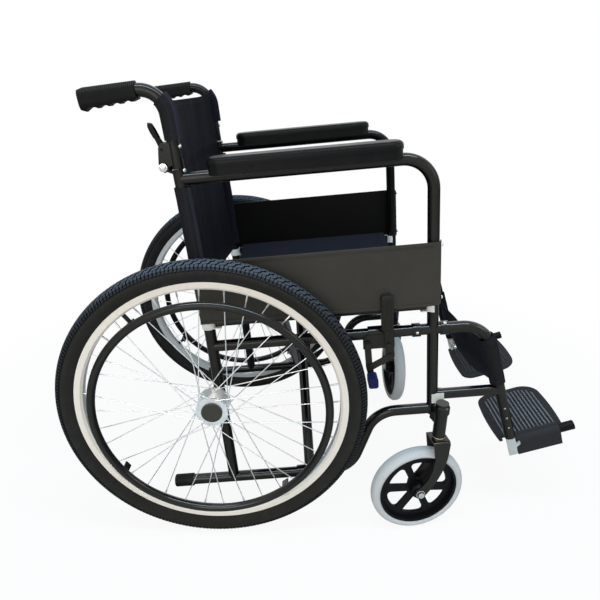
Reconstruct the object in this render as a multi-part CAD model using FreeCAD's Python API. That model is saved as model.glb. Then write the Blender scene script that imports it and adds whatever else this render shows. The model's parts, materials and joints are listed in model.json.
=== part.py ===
"""A folding manual wheelchair, one STEP file for each piece, in millimetres.

Chair axes: x towards the sitter's left, y towards the rear, z up. The side frames are
drawn level, y from the rear axle and z from the ground below it, and then lean back by
frame_lean about that axle. A side's pieces are drawn on the left and mirrored to the right.
"""
import FreeCAD, Part
import math
import os
from FreeCAD import Vector

# ---------------------------------------------------------------- side frames
side_plane = 238.6          # from the chair's middle to the middle of a side frame
tube_radius = 11.1
tube_wall = 1.5
weld_gap = 0.25             # left where the coped end of one tube meets another
fixed_gap = 0.3             # left between two fixed or soft pieces that touch
running_gap = 0.05          # radial clearance of everything that turns or slides
seam_turn = 37.0            # degrees, keeps the seams of the tubes away from their joints
frame_lean = 5.5            # degrees, the fronts of the side frames stand high
front_post_y = -441.1
front_post_foot = 219.0
rear_post_y = -7.7
recline_from = 440.0        # height where the rear post starts to lean back
recline = 1.36              # degrees
recline_bend = 400.0
arm_height = 740.0
arm_bend = 55.0
post_above_arm = 17.0       # rear post, over the middle of the arm rest tube
rail_below_seat = 54.0      # upper side rail and top of the hanger, under the seat rails
rail_collar_y = -408.5
collar_length = 15.0
collar_radius = 13.6
base_height = 89.7          # lower side rail
base_front_height = 229.5
base_rise_y = -263.0        # where the lower rail turns up
base_rise_angle = 67.0
base_bend = 65.0
lever_end_y = 122.0         # rear end of the lower rail, the tipping lever
tip_length = 40.0
tip_radius = 13.4
tip_end_wall = 4.0

# ---------------------------------------------------------------- seat and brace
seat_height = 466.0
seat_rail_front_y = -426.3
seat_rail_rear_y = -22.6
brace_a_y = -175.0          # bar from the right lower rail to the left seat rail
brace_b_y = -150.0
brace_radius = 11.0
sleeve_radius = 14.0
sleeve_length = 56.0
brace_bolt_radius = 5.0
brace_bolt_head = 9.0
brace_bolt_head_length = 5.0
fabric_thickness = 2.0
seat_sag = 14.0
seat_end_gap = 8.0          # from the end of a seat rail to the edge of the fabric
cradle_radius = 13.5
cradle_rise = 4.0           # clips, over the middle of the seat rails
cradle_shelf_thickness = 2.0
cradle_shelf_width = 18.0
cradle_shelf_reach = 10.0

# ---------------------------------------------------------------- back
back_bend = 44.0
handle_above_post = 132.0   # front end of the grip, over the top of the rear post
handle_drop = 2.3           # degrees, towards the rear
grip_front_y = 46.0
grip_length = 95.0
grip_end_wall = 5.0
grip_radius = 14.0
grip_depth = 10.0           # how much deeper the grip's section is than it is wide
grip_ridge = 17.0           # from the tube down to the first finger ridge
grip_ridge_step = 19.0
grip_ridge_drop = 1.0       # each ridge stands lower than the one before it
grip_hollow = 3.4
grip_flare = 23.0
back_tube_gap = 1.2         # between the rear post and the folding tube
hinge_y = 21.5
hinge_above_post = 6.5
hinge_bolt_radius = 4.0
hinge_bolt_head = 6.0
hinge_bolt_head_length = 4.0
hinge_ear_radius = 7.5
hinge_ear_depth = 12.0      # how far down the rear post the ear reaches
hinge_ear_width = 12.0
hinge_side_gap = 3.0
hinge_cheek_thickness = 3.0
hinge_cheek_height = 40.0   # over the hinge
hinge_bar_rise = 10.0
hinge_bar_height = 10.0
hinge_bar_thickness = 3.0
latch_pivot_y = 20.0
latch_above_hinge = 29.5
latch_pin_radius = 2.5
latch_width = 14.0
latch_waist = 9.0           # width of the paddle between the cheeks
back_above_seat = 6.0       # lower edge of the back fabric, over the seat rails
sleeve_above_seat = 19.0
sleeve_below_post = 31.0    # top of the lower sleeves, under the top of the rear post
back_split_drop = 5.0       # lower back fabric ends this far under the post's top
back_split_rise = 3.0       # and the upper one starts this far over it
sleeve_above_post = 49.0
sleeve_end_angle = 38.0     # how far the sleeves follow the bend of the handle
back_below_handle = 22.0

# ---------------------------------------------------------------- arm rests and side panels
pad_front_y = -389.0
pad_rear_y = -50.0
pad_width = 52.0
pad_base_rise = 3.0         # over the middle of the arm rest tube
pad_seam_rise = 19.0
pad_top_rise = 33.0
pad_base_inset = 1.5
pad_corner = 25.0
pad_edge = 9.0
panel_plane = 252.4         # inner face of the side panel
panel_thickness = 1.6
panel_above_seat = 1.5
panel_height = 123.5
panel_rear_y = 4.0
panel_hem_height = 5.0
panel_hem_thickness = 1.4
panel_wrap_radius = 12.2    # inside the sheet where it bends round the front post
panel_wrap_angle = 95.0
panel_screw_inset = 12.0
panel_spacer_radius = 4.0

# ---------------------------------------------------------------- rear wheels
wheel_radius = 304.0
wheel_plane = 287.9
tyre_half_width = 21.0
tyre_shoulder_radius = 285.0
tyre_wall = 4.0
rim_flange_radius = 266.0
rim_flange_height = 8.8     # over the bed that the tyre sits on
rim_half_width = 12.5
rim_flange_thickness = 1.8
rim_wall_depth = 6.6        # from the bed to the inside of the rim
rim_side_depth = 4.0
rim_inner_half_width = 8.0
hub_outer_flange = 305.8
hub_inner_flange = 266.3
hub_flange_radius = 31.5
hub_flange_thickness = 2.5
hub_shell_radius = 15.0
hub_end_length = 2.0
spoke_count = 36
spoke_radius = 1.0
spoke_circle_radius = 28.0
spoke_lacing_angle = 60.0
spoke_stagger = 1.9
spoke_rim_offset = 3.0
spoke_turn = 2.8            # degrees, keeps the spokes clear of the push rim's tabs
axle_radius = 6.0
axle_spacer_radius = 10.0
axle_nut_radius = 10.0
axle_nut_thickness = 7.0
hub_cap_radius = 20.5
hub_cap_length = 4.0
handrim_plane = 316.1
handrim_outer_radius = 236.0
handrim_tube_radius = 8.0
handrim_wall = 1.4
handrim_tab_count = 4
handrim_tab_first = 32.2    # degrees from straight forward
handrim_tab_width = 14.0
handrim_tab_thickness = 3.0
handrim_tab_reach = 290.0   # how far in the tabs go
handrim_screw_radius = 4.0

# ---------------------------------------------------------------- castors
castor_radius = 100.0
castor_width = 31.0
castor_tyre_inner = 84.3
castor_pivot_x = 273.3
castor_pivot_y = -456.0     # on the floor, from the rear axle
castor_trail = 35.2
castor_turn = {"right": 9.2, "left": 93.0}  # degrees, trailing side turned inwards or outwards
castor_rim_half_width = 12.5
castor_rim_wall = 7.0
castor_web_half = 4.0
castor_hub_radius = 17.0
castor_window_count = 6
castor_window_gap = 14.5
castor_window_inset = 11.0
castor_window_corner = 7.0
castor_window_turn = 5.0    # degrees
castor_axle_radius = 6.0
castor_axle_head = 8.0
castor_axle_head_length = 3.0
fork_crown_top = 225.0
fork_crown_thickness = 5.0
fork_crown_half = 18.0
fork_crown_edge = 8.0
fork_crown_corner = 5.0
fork_eye_radius = 12.0
fork_leg_inner = 19.6
fork_leg_thickness = 3.6
fork_washer_radius = 11.5
barrel_bottom = 229.0
barrel_top = 306.0
barrel_radius = 12.9
barrel_cap_radius = 15.5
barrel_cap_height = 22.0
barrel_dome = 8.0
stem_radius = 6.0
stem_top = 296.0
gusset_width = 16.0
gusset_bottom = 254.0
gusset_top = 288.0

# ---------------------------------------------------------------- footrests
hanger_angle = 13.0         # degrees from upright
hanger_foot_y = -607.0
hanger_foot_height = 142.0
hanger_bend = 60.0
hanger_collar_y = -463.0
hanger_stay_height = 262.0
saddle_length = 22.0
saddle_height = 21.0
saddle_width = 25.0
foot_bore_radius = 9.6
foot_tube_length = 118.0
foot_hole_first = 30.0      # along the hanger, from its foot
foot_hole_spacing = 25.0
foot_hole_count = 3
foot_hole_radius = 2.8
rod_plane = 220.0           # the plate's hinge rod, from the chair's middle
rod_drop = 28.0             # below the hanger's foot, along the hanger
rod_radius = 6.0
rod_cap_radius = 10.0
rod_cap_length = 32.0
strap_width = 18.0
strap_thickness = 4.0
barrel_edge_radius = 15.0
plate_hinge_start = 12.0    # along the rod, from the hanger's middle
plate_hinge_length = 95.0
plate_inner = 46.0
plate_rear = -16.0          # along the rod, at the ends of the plate's edges
plate_front = 118.0
plate_bow = 6.0             # how far the front and rear edges bow out at their middles
plate_thickness = 5.0
plate_rise = -1.0           # from the rod's axis up to the plate's underside
plate_front_corner = 42.0
plate_rear_corner = 30.0
plate_gap = 3.5             # from the plate's outer edge to the hanger
plate_notch_gap = 1.5       # round the strap and the foot of the rod
plate_rib_count = 15
plate_rib_height = 1.4
plate_rib_width = 3.0
plate_rib_margin = 12.0
calf_loops = {"right": (141.0, 251.0), "left": (50.0, 147.0)}  # along the hanger
calf_sag = 34.0
calf_stay_gap = 1.5         # under the hanger's stay, behind the left loop

# ---------------------------------------------------------------- brakes
brake_lever_pivot = (-352.0, 16.0)  # from the axle, and down from the upper rail
brake_lever_pin = (-354.0, 41.0)
brake_arm_pivot = (-311.0, 13.0)
brake_arm_pin = (-312.5, 63.0)
brake_plane = 256.4         # inner face of the levers
brake_bar_thickness = 4.0
brake_bar_width = 17.0
brake_arm_width = 13.0
brake_link_width = 13.0
brake_link_thickness = 3.0
brake_pin_radius = 4.0
link_pin_radius = 3.0
open_pin_gap = 1.0          # play of the link's free end
brake_handle_rise = 18.0    # over the upper rail
brake_handle_length = 71.0
brake_handle_width = 22.0
brake_handle_thickness = 15.0
brake_handle_round = 6.0
brake_handle_edge = 3.0
brake_handle_ribs = 4
brake_groove = 1.2
shoe_pin_height = 330.5
shoe_pin_radius = 5.0
shoe_front_y = -325.5
shoe_rear_y = -306.4
shoe_height = 22.0
shoe_inner = 266.0
shoe_outer = 292.0
bracket_inner = 250.1
bracket_thickness = 4.0
bracket_front_y = -364.0
bracket_rear_y = -303.0
bracket_drop = 26.0         # under the upper rail
bracket_rise = 4.0
bracket_corner = 8.0
clamp_radius = 14.6
clamp_length = 28.0
clamp_y = -329.0

# ---------------------------------------------------------------- worked out
lean = math.radians(frame_lean)
pitch = math.radians(hanger_angle)
axle = Vector(0, 0, wheel_radius)
rail_height = seat_height - rail_below_seat
panel_bottom = seat_height + panel_above_seat
panel_top = panel_bottom + panel_height
rear_post_top = arm_height + post_above_arm
handle_height = rear_post_top + handle_above_post
hinge_height = rear_post_top + hinge_above_post
latch_pivot_height = hinge_height + latch_above_hinge
lever_pivot, lever_pin, arm_pivot, arm_pin = [
    (y, rail_height - drop)
    for y, drop in (brake_lever_pivot, brake_lever_pin, brake_arm_pivot, brake_arm_pin)]
rim_bed_radius = rim_flange_radius - rim_flange_height
rim_inner_radius = rim_bed_radius - rim_wall_depth
handle_tilt = math.radians(handle_drop)
coped = tube_radius + weld_gap
soft = tube_radius + fixed_gap


def post_y(height):
    """Middle of the rear post at a height."""
    return rear_post_y + max(0.0, height - recline_from) * math.tan(math.radians(recline))


def leaned(point):
    """A point of the level side frame, after the frame has leaned back."""
    y, z = point.y, point.z - wheel_radius
    return Vector(point.x, y * math.cos(lean) + z * math.sin(lean),
                  wheel_radius - y * math.sin(lean) + z * math.cos(lean))


def hanger_point(along, across=0.0):
    """A point on the hanger's slanted axis, and one forward of it square to the axis."""
    y = hanger_foot_y + along * math.sin(pitch) - across * math.cos(pitch)
    z = hanger_foot_height + along * math.cos(pitch) + across * math.sin(pitch)
    return Vector(side_plane, y, z)


def rod_point(along, x=rod_plane):
    """A point on the footplate's rod, forward of the hanger's axis."""
    point = hanger_point(-rod_drop, along)
    return Vector(x, point.y, point.z)


rod_tip = leaned(rod_point(plate_hinge_start + plate_hinge_length + 0.5 + rod_cap_length))
front_reach = rod_tip.y - rod_cap_radius * math.sin(pitch + lean)
left_reach = max(handrim_plane + handrim_tube_radius,
                 castor_pivot_x + (castor_radius - castor_trail)
                 * math.sin(math.radians(castor_turn["left"])))
right_reach = handrim_plane + handrim_tube_radius
origin = Vector((left_reach - right_reach) / 2, (wheel_radius + front_reach) / 2, 0)


# ---------------------------------------------------------------- basic shapes
def cylinder(start, end, radius):
    return Part.makeCylinder(radius, (end - start).Length, start, end - start)


def pin(y, z, inner, outer, radius):
    """A round pin across the chair."""
    return cylinder(Vector(inner, y, z), Vector(outer, y, z), radius)


def box(x0, x1, y0, y1, z0, z1):
    return Part.makeBox(x1 - x0, y1 - y0, z1 - z0, Vector(x0, y0, z0))


def plate(points, x0, x1):
    """A flat plate across the chair from its (y, z) outline."""
    corners = [Vector(x0, y, z) for y, z in points]
    return Part.Face(Part.makePolygon(corners + corners[:1])).extrude(Vector(x1 - x0, 0, 0))


def revolved(points):
    """A ring turned about the x axis from its (axial, radial) outline."""
    corners = [Vector(a, 0, r) for a, r in points]
    outline = Part.Face(Part.makePolygon(corners + corners[:1]))
    return outline.revolve(Vector(), Vector(1, 0, 0), 360)


def path(points, bend):
    """Straight runs joined by tangent arcs of one radius."""
    edges = []
    start = points[0]
    for here, after in zip(points[1:-1], points[2:]):
        back = (start - here).normalize()
        on = (after - here).normalize()
        half_turn = (math.pi - back.getAngle(on)) / 2
        setback = bend * math.tan(half_turn)
        middle = (back + on).normalize() * (bend / math.cos(half_turn) - bend)
        arc_start, arc_end = here + back * setback, here + on * setback
        edges.append(Part.LineSegment(start, arc_start).toShape())
        edges.append(Part.Arc(arc_start, here + middle, arc_end).toShape())
        start = arc_end
    edges.append(Part.LineSegment(start, points[-1]).toShape())
    return Part.Wire(edges)


def swept(points, bend, radius):
    """A round bar along a bent path."""
    along = points[1] - points[0]
    circle = Part.Circle(points[0], along, radius).toShape()
    circle.rotate(points[0], along, seam_turn)
    return path(points, bend).makePipeShell([Part.Wire([circle])], True, False)


def trimmed(points, cut):
    """The same path, with its last point drawn back by a length."""
    back = (points[-2] - points[-1]).normalize() * cut
    return points[:-1] + [points[-1] + back]


def tube(points, bend=1.0, plug=0.0):
    """A bent frame tube, closed at its far end by a plug where that end shows."""
    outer = swept(points, bend, tube_radius)
    return outer.cut(swept(trimmed(points, plug) if plug else points, bend,
                           tube_radius - tube_wall))


def rounded(shape, radius, chosen):
    """Fillets on the edges that a test picks by their middle point and direction."""
    edges = [edge for edge in shape.Edges if chosen(edge)]
    return shape.makeFillet(radius, edges) if edges else shape


def upright_edge(edge):
    return abs(edge.tangentAt(edge.FirstParameter).z) > 0.9


def post_line(points):
    return [Vector(side_plane, y, z) for y, z in points]


# ---------------------------------------------------------------- side frame pieces
base_rise = base_front_height - base_height
base_top_y = base_rise_y - base_rise / math.tan(math.radians(base_rise_angle))
base_line = post_line([(lever_end_y - tip_end_wall - fixed_gap, base_height),
                       (base_rise_y, base_height), (base_top_y, base_front_height),
                       (front_post_y, base_front_height)])
rear_post_line = post_line([(rear_post_y, base_height), (rear_post_y, recline_from),
                            (post_y(rear_post_top), rear_post_top)])
arm_line = post_line([(post_y(arm_height), arm_height), (front_post_y, arm_height),
                      (front_post_y, front_post_foot)])


def front_post_void():
    return pin_upright(front_post_y, front_post_foot - 30, arm_height - arm_bend, coped)


def front_post_clearance():
    return pin_upright(front_post_y, front_post_foot - 30, arm_height - arm_bend, soft)


def pin_upright(y, bottom, top, radius):
    return cylinder(Vector(side_plane, y, bottom), Vector(side_plane, y, top), radius)


def arm_tube():
    """Arm rest tube that bends down into the front post."""
    return tube(arm_line, arm_bend, plug=tube_wall).cut(
        swept(rear_post_line, recline_bend, coped))


def back_frame():
    """Rear post with the upper side rail, its collar and the ear of the back hinge."""
    rail = post_line([(rear_post_y, rail_height), (front_post_y, rail_height)])
    collar = cylinder(Vector(side_plane, rail_collar_y - collar_length / 2, rail_height),
                      Vector(side_plane, rail_collar_y + collar_length / 2, rail_height),
                      collar_radius)
    solid = swept(rear_post_line, recline_bend, tube_radius)
    solid = solid.fuse([swept(rail, 1.0, tube_radius), collar])
    inside = tube_radius - tube_wall
    hollow = swept(trimmed(rear_post_line, tube_wall), recline_bend, inside)
    solid = solid.cut(hollow.fuse(swept(rail, 1.0, inside)))
    ear_half = hinge_ear_width / 2
    ear_front = post_y(hinge_height) + tube_radius + hinge_side_gap / 2
    ear_back = hinge_y + hinge_ear_radius
    shelf = rear_post_top - fixed_gap
    ear = plate([(rear_post_y + tube_radius / 2, rear_post_top - hinge_ear_depth),
                 (rear_post_y + tube_radius / 2, shelf), (ear_front, shelf),
                 (ear_front + hinge_side_gap, hinge_height), (ear_back, hinge_height),
                 (hinge_y, hinge_height - hinge_ear_radius)],
                side_plane - ear_half, side_plane + ear_half)
    knuckle = pin(hinge_y, hinge_height, side_plane - ear_half, side_plane + ear_half,
                  hinge_ear_radius)
    bore = pin(hinge_y, hinge_height, side_plane - 20, side_plane + 20,
               hinge_bolt_radius + running_gap)
    axle_hole = pin(0, wheel_radius, side_plane - 20, side_plane + 20,
                    axle_radius + running_gap)
    solid = solid.fuse(ear.fuse(knuckle).cut(hollow))
    base = swept(base_line, base_bend, coped)
    return solid.cut([bore, axle_hole, base, front_post_void()])


def base_tube():
    """Lower side rail with the castor barrel, as it stands after the lean."""
    rail = tube(base_line, base_bend, plug=0.0)
    end = cylinder(base_line[0], base_line[0] - Vector(0, tube_wall, 0), tube_radius)
    rail = rail.fuse(end).cut(front_post_void())
    rail = stood(rail)
    foot = Vector(castor_pivot_x, castor_pivot_y, 0)
    up = Vector(0, 0, 1)
    barrel = cylinder(foot + up * barrel_bottom, foot + up * barrel_top, barrel_radius)
    cap = cylinder(foot + up * (barrel_top - barrel_cap_height), foot + up * barrel_top,
                   barrel_cap_radius)
    dome = (barrel_cap_radius ** 2 + barrel_dome ** 2) / (2 * barrel_dome)
    cap = cap.common(Part.makeSphere(dome, foot + up * (barrel_top - dome)))
    post_low = leaned(Vector(side_plane, front_post_y, base_front_height))
    along = Vector(foot.x - post_low.x, foot.y - post_low.y, 0)
    gusset = Part.makeBox(along.Length, gusset_width, gusset_top - gusset_bottom,
                          Vector(0, -gusset_width / 2, gusset_bottom))
    gusset.rotate(Vector(), up, math.degrees(math.atan2(along.y, along.x)))
    gusset.translate(Vector(post_low.x, post_low.y, 0))
    post = stood(front_post_void())
    bore = cylinder(foot + up * (barrel_bottom - 1), foot + up * (stem_top + fixed_gap),
                    stem_radius + running_gap)
    return rail.fuse([barrel, cap, gusset]).cut([post, bore])


def stood(shape):
    """A piece of the level side frame, leaned back about the rear axle."""
    leaning = shape.copy()
    leaning.rotate(axle, Vector(1, 0, 0), -frame_lean)
    return leaning


def tip():
    """Rubber sleeve on the tipping lever."""
    front = Vector(side_plane, lever_end_y - tip_length, base_height)
    end = Vector(side_plane, lever_end_y, base_height)
    body = cylinder(front, end, tip_radius)
    body = rounded(body, 3.0, lambda e: abs(e.CenterOfMass.y - lever_end_y) < 0.1
                   and e.Length > 2 * math.pi * tip_radius - 1)
    return body.cut(cylinder(front - Vector(0, 1, 0), end - Vector(0, tip_end_wall, 0), soft))


def side_panel():
    """Sheet panel outside the posts, wrapped round the front post and hemmed twice."""
    plane = panel_plane
    wrap = math.radians(panel_wrap_angle)
    inner, outer = panel_wrap_radius, panel_wrap_radius + panel_thickness
    centre = Vector(plane - inner, front_post_y, panel_bottom)

    def rim_point(radius, angle):
        return centre + Vector(radius * math.cos(angle), -radius * math.sin(angle), 0)

    rear = panel_rear_y - front_post_y
    edges = [Part.LineSegment(centre + Vector(inner, rear, 0), rim_point(inner, 0)).toShape(),
             Part.Arc(rim_point(inner, 0), rim_point(inner, wrap / 2),
                      rim_point(inner, wrap)).toShape(),
             Part.LineSegment(rim_point(inner, wrap), rim_point(outer, wrap)).toShape(),
             Part.Arc(rim_point(outer, wrap), rim_point(outer, wrap / 2),
                      rim_point(outer, 0)).toShape(),
             Part.LineSegment(rim_point(outer, 0), centre + Vector(outer, rear, 0)).toShape(),
             Part.LineSegment(centre + Vector(outer, rear, 0),
                              centre + Vector(inner, rear, 0)).toShape()]
    sheet = Part.Face(Part.Wire(edges)).extrude(Vector(0, 0, panel_top - panel_bottom))
    hem_outer = plane + panel_thickness + panel_hem_thickness
    for height in (panel_bottom, panel_top - panel_hem_height):
        sheet = sheet.fuse(box(plane + panel_thickness / 2, hem_outer, front_post_y,
                               panel_rear_y, height, height + panel_hem_height))
    spacers = []
    for y, z in ((post_y(panel_bottom), panel_bottom + panel_screw_inset),
                 (front_post_y, panel_bottom + panel_screw_inset),
                 (front_post_y, panel_top - panel_screw_inset)):
        spacers.append(pin(y, z, side_plane + coped, plane + panel_thickness / 2,
                           panel_spacer_radius))
    return sheet.fuse(spacers)


def arm_pad():
    """Moulded pad that straddles the arm rest tube: a cushion on a narrower base."""
    top = arm_height + pad_top_rise
    seam = arm_height + pad_seam_rise
    layers = []
    for inset, low, high in ((0.0, seam, top),
                             (pad_base_inset, arm_height + pad_base_rise, seam)):
        half = pad_width / 2 - inset
        layer = box(side_plane - half, side_plane + half, pad_front_y + inset,
                    pad_rear_y - inset, low, high)
        layers.append(rounded(layer, pad_corner - inset, upright_edge))
    cushion = rounded(layers[0], pad_edge, lambda e: e.CenterOfMass.z > top - 0.1)
    return cushion.fuse(layers[1]).cut(swept(arm_line, arm_bend, soft))


def white_clips():
    """Moulded clips: two cradles for the seat rail and the saddle of the footrest stay."""
    solids = []
    shelf_top = seat_height - tube_radius - fixed_gap
    shelf_bottom = shelf_top - cradle_shelf_thickness
    rear_void = swept(rear_post_line, recline_bend, soft)
    for y, rail_end, void in ((front_post_y, seat_rail_front_y, front_post_clearance()),
                              (rear_post_y, seat_rail_rear_y, rear_void)):
        ring = pin_upright(y, shelf_bottom, seat_height + cradle_rise, cradle_radius)
        if y == front_post_y:
            ring = ring.cut(box(side_plane - cradle_radius, side_plane + cradle_radius,
                                y - cradle_radius, y, shelf_bottom,
                                seat_height + cradle_rise))
        inward = 1 if rail_end > y else -1
        reach = sorted((y, rail_end + inward * cradle_shelf_reach))
        shelf = box(side_plane - cradle_shelf_width / 2, side_plane + cradle_shelf_width / 2,
                    reach[0], reach[1], shelf_bottom, shelf_top)
        solids.append(ring.fuse(shelf).cut(void))
    saddle = box(side_plane - saddle_width / 2, side_plane + saddle_width / 2,
                 front_post_y - tube_radius - saddle_length / 2, front_post_y + 4,
                 hanger_stay_height - saddle_height * 2 / 3,
                 hanger_stay_height + saddle_height / 3)
    saddle = rounded(saddle, 3.0, upright_edge)
    post = front_post_clearance()
    stay = cylinder(Vector(side_plane, front_post_y - tube_radius - saddle_length / 2 - 1,
                           hanger_stay_height),
                    Vector(side_plane, front_post_y, hanger_stay_height), soft)
    solids.append(saddle.cut([post, stay]))
    return Part.makeCompound(solids)


# ---------------------------------------------------------------- footrest
hanger_line = [Vector(side_plane, front_post_y, rail_height),
               hanger_point((rail_height - hanger_foot_height) / math.cos(pitch)),
               hanger_point(0)]
stay_line = (Vector(side_plane, front_post_y, hanger_stay_height),
             hanger_point((hanger_stay_height - hanger_foot_height) / math.cos(pitch)))


def hanger():
    """Footrest hanger: bent tube, stay to the front post and three locating holes."""
    solid = swept(hanger_line, hanger_bend, tube_radius)
    collar = cylinder(Vector(side_plane, hanger_collar_y - collar_length / 2, rail_height),
                      Vector(side_plane, hanger_collar_y + collar_length / 2, rail_height),
                      collar_radius)
    stay = cylinder(*stay_line, tube_radius)
    solid = solid.fuse([collar, stay])
    inside = tube_radius - tube_wall
    reach = hanger_point(foot_tube_length + 10)
    bores = [swept(hanger_line, hanger_bend, inside), cylinder(*stay_line, inside),
             cylinder(hanger_point(-1), reach, foot_bore_radius), front_post_void()]
    for i in range(foot_hole_count):
        at = hanger_point(foot_hole_first + i * foot_hole_spacing)
        bores.append(pin(at.y, at.z, side_plane, side_plane + 2 * tube_radius,
                         foot_hole_radius))
    return solid.cut(bores)


def slanted(shape):
    """A piece drawn upright at the hanger's foot, turned to the hanger's slope.

    Its z axis is the hanger's and its -y axis runs along the plate's rod.
    """
    turned = shape.copy()
    turned.rotate(Vector(), Vector(1, 0, 0), -hanger_angle)
    turned.translate(Vector(0, hanger_foot_y, hanger_foot_height))
    return turned


def foot_tube():
    """Sliding foot tube with the strap and the rod that carry the footplate."""
    radius = foot_bore_radius - running_gap
    slide = cylinder(Vector(side_plane, 0, -4), Vector(side_plane, 0, foot_tube_length), radius)
    hollow = cylinder(Vector(side_plane, 0, 0), Vector(side_plane, 0, foot_tube_length + 1),
                      radius - tube_wall)
    strap_x = side_plane + strap_thickness
    strap = box(strap_x - strap_thickness, strap_x, -strap_width / 2, strap_width / 2,
                -rod_drop - 20, -0.5)
    hook = plate([(-strap_width / 2, -30), (-strap_width / 2 - 9, -24),
                  (-strap_width / 2 - 9, -17), (-strap_width / 2, -20)],
                 strap_x - strap_thickness, strap_x)
    cross = box(rod_plane - rod_cap_radius, strap_x, -strap_thickness / 2,
                strap_thickness / 2, -rod_drop - rod_cap_radius, -rod_drop + rod_cap_radius)
    cap_start = -(plate_hinge_start + plate_hinge_length + 0.5)
    rod = cylinder(Vector(rod_plane, 0, -rod_drop), Vector(rod_plane, cap_start, -rod_drop),
                   rod_radius)
    cap = cylinder(Vector(rod_plane, cap_start, -rod_drop),
                   Vector(rod_plane, cap_start - rod_cap_length, -rod_drop), rod_cap_radius)
    solid = slide.cut(hollow).fuse([strap, hook, cross, rod, cap])
    return slanted(solid.removeSplitter())


def footplate():
    """Ribbed footplate with bowed edges and a thick rolled edge that turns on the rod."""
    low = -rod_drop + plate_rise
    top = low + plate_thickness
    edge_front = -(plate_hinge_start + plate_hinge_length)
    outer = side_plane - tube_radius - plate_gap
    middle = (plate_inner + outer) / 2
    front, rear = -plate_front, -plate_rear
    corners = [Vector(plate_inner, front, low), Vector(outer, front, low),
               Vector(outer, rear, low), Vector(plate_inner, rear, low)]
    outline = Part.Wire([
        Part.Arc(corners[0], Vector(middle, front - plate_bow, low), corners[1]).toShape(),
        Part.LineSegment(corners[1], corners[2]).toShape(),
        Part.Arc(corners[2], Vector(middle, rear + plate_bow, low), corners[3]).toShape(),
        Part.LineSegment(corners[3], corners[0]).toShape()])
    sheet = Part.Face(outline).extrude(Vector(0, 0, plate_thickness))
    for radius, end in ((plate_front_corner, front), (plate_rear_corner, rear)):
        sheet = rounded(sheet, radius, lambda e: upright_edge(e) and e.Length < plate_thickness
                        + 0.1 and (e.CenterOfMass - Vector(plate_inner, end, low)).Length
                        < plate_thickness)
    ribs = []
    first, last = front + plate_rib_margin, rear - plate_rib_margin / 2
    for number in range(plate_rib_count):
        y = first + (last - first) * number / (plate_rib_count - 1)
        ribs.append(box(plate_inner, outer, y - plate_rib_width / 2, y + plate_rib_width / 2,
                        top, top + plate_rib_height))
    margin = sheet.copy()
    margin.scale(1 - 2 * plate_rib_margin / (plate_front - plate_rear),
                 Vector(middle, (front + rear) / 2, low))
    margin.translate(Vector(0, 0, plate_thickness - 1))
    sheet = sheet.fuse([rib.common(margin) for rib in ribs])
    roll = cylinder(Vector(rod_plane, -plate_hinge_start, -rod_drop),
                    Vector(rod_plane, edge_front, -rod_drop), barrel_edge_radius)
    face = box(rod_plane, rod_plane + barrel_edge_radius, edge_front, -plate_hinge_start,
               -rod_drop - 2 * barrel_edge_radius + 1, -rod_drop)
    tall = 2 * barrel_edge_radius
    strap_end = strap_width / 2 + plate_notch_gap
    notches = [box(rod_plane - barrel_edge_radius, side_plane, -plate_hinge_start, strap_end,
                   -rod_drop - tall, -rod_drop + tall),
               box(rod_plane - rod_cap_radius - plate_notch_gap, side_plane,
                   front - 2 * plate_bow, edge_front, -rod_drop - tall, -rod_drop + tall)]
    solid = sheet.cut(notches).fuse([roll, face])
    bore = cylinder(Vector(rod_plane, 2 * plate_rear_corner, -rod_drop),
                    Vector(rod_plane, edge_front - 1, -rod_drop), rod_radius + running_gap)
    return slanted(solid.cut(bore))


# ---------------------------------------------------------------- back tube, grip and latch
handle_axis = Vector(0, math.cos(handle_tilt), -math.sin(handle_tilt))
grip_start = Vector(side_plane, grip_front_y, handle_height)


back_tube_foot = rear_post_top + back_tube_gap
back_tube_line = [
    Vector(side_plane, post_y(back_tube_foot), back_tube_foot),
    grip_start + handle_axis * ((post_y(handle_height) - grip_front_y) / handle_axis.y),
    grip_start + handle_axis * (grip_length - grip_end_wall - fixed_gap)]


def back_tube():
    """Folding upper back tube with its push handle and the moving half of the hinge."""
    solid = tube(back_tube_line, back_bend, plug=tube_wall)
    cheek_inner = hinge_ear_width / 2 + hinge_side_gap
    ear = hinge_ear_radius
    low, high = hinge_height, hinge_height + hinge_cheek_height
    front = post_y(back_tube_foot) + tube_radius / 2
    outline = [(front, low + 2), (front, high), (hinge_y - 2, high),
               (hinge_y + ear / 2, high - ear), (hinge_y + ear, low + ear),
               (hinge_y + ear, low - ear / 2), (hinge_y, low - ear - 2),
               (hinge_y - ear, low - ear), (hinge_y - ear - 2, low)]
    bolt_end = cheek_inner + hinge_cheek_thickness
    added = []
    for side in (-1, 1):
        x = sorted((side_plane + side * cheek_inner, side_plane + side * bolt_end))
        added.append(plate(outline, x[0], x[1]))
        head = sorted((side_plane + side * bolt_end,
                       side_plane + side * (bolt_end + hinge_bolt_head_length)))
        added.append(pin(hinge_y, hinge_height, head[0], head[1], hinge_bolt_head))
    added.append(pin(hinge_y, hinge_height, side_plane - bolt_end, side_plane + bolt_end,
                     hinge_bolt_radius))
    added.append(box(side_plane - cheek_inner - 1, side_plane + cheek_inner + 1,
                     hinge_y, hinge_y + hinge_bar_thickness, low + hinge_bar_rise,
                     low + hinge_bar_rise + hinge_bar_height))
    solid = solid.fuse(added)
    latch_bore = pin(latch_pivot_y, latch_pivot_height, side_plane - bolt_end - 1,
                     side_plane + bolt_end + 1, latch_pin_radius + running_gap)
    return solid.cut(latch_bore)


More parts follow.
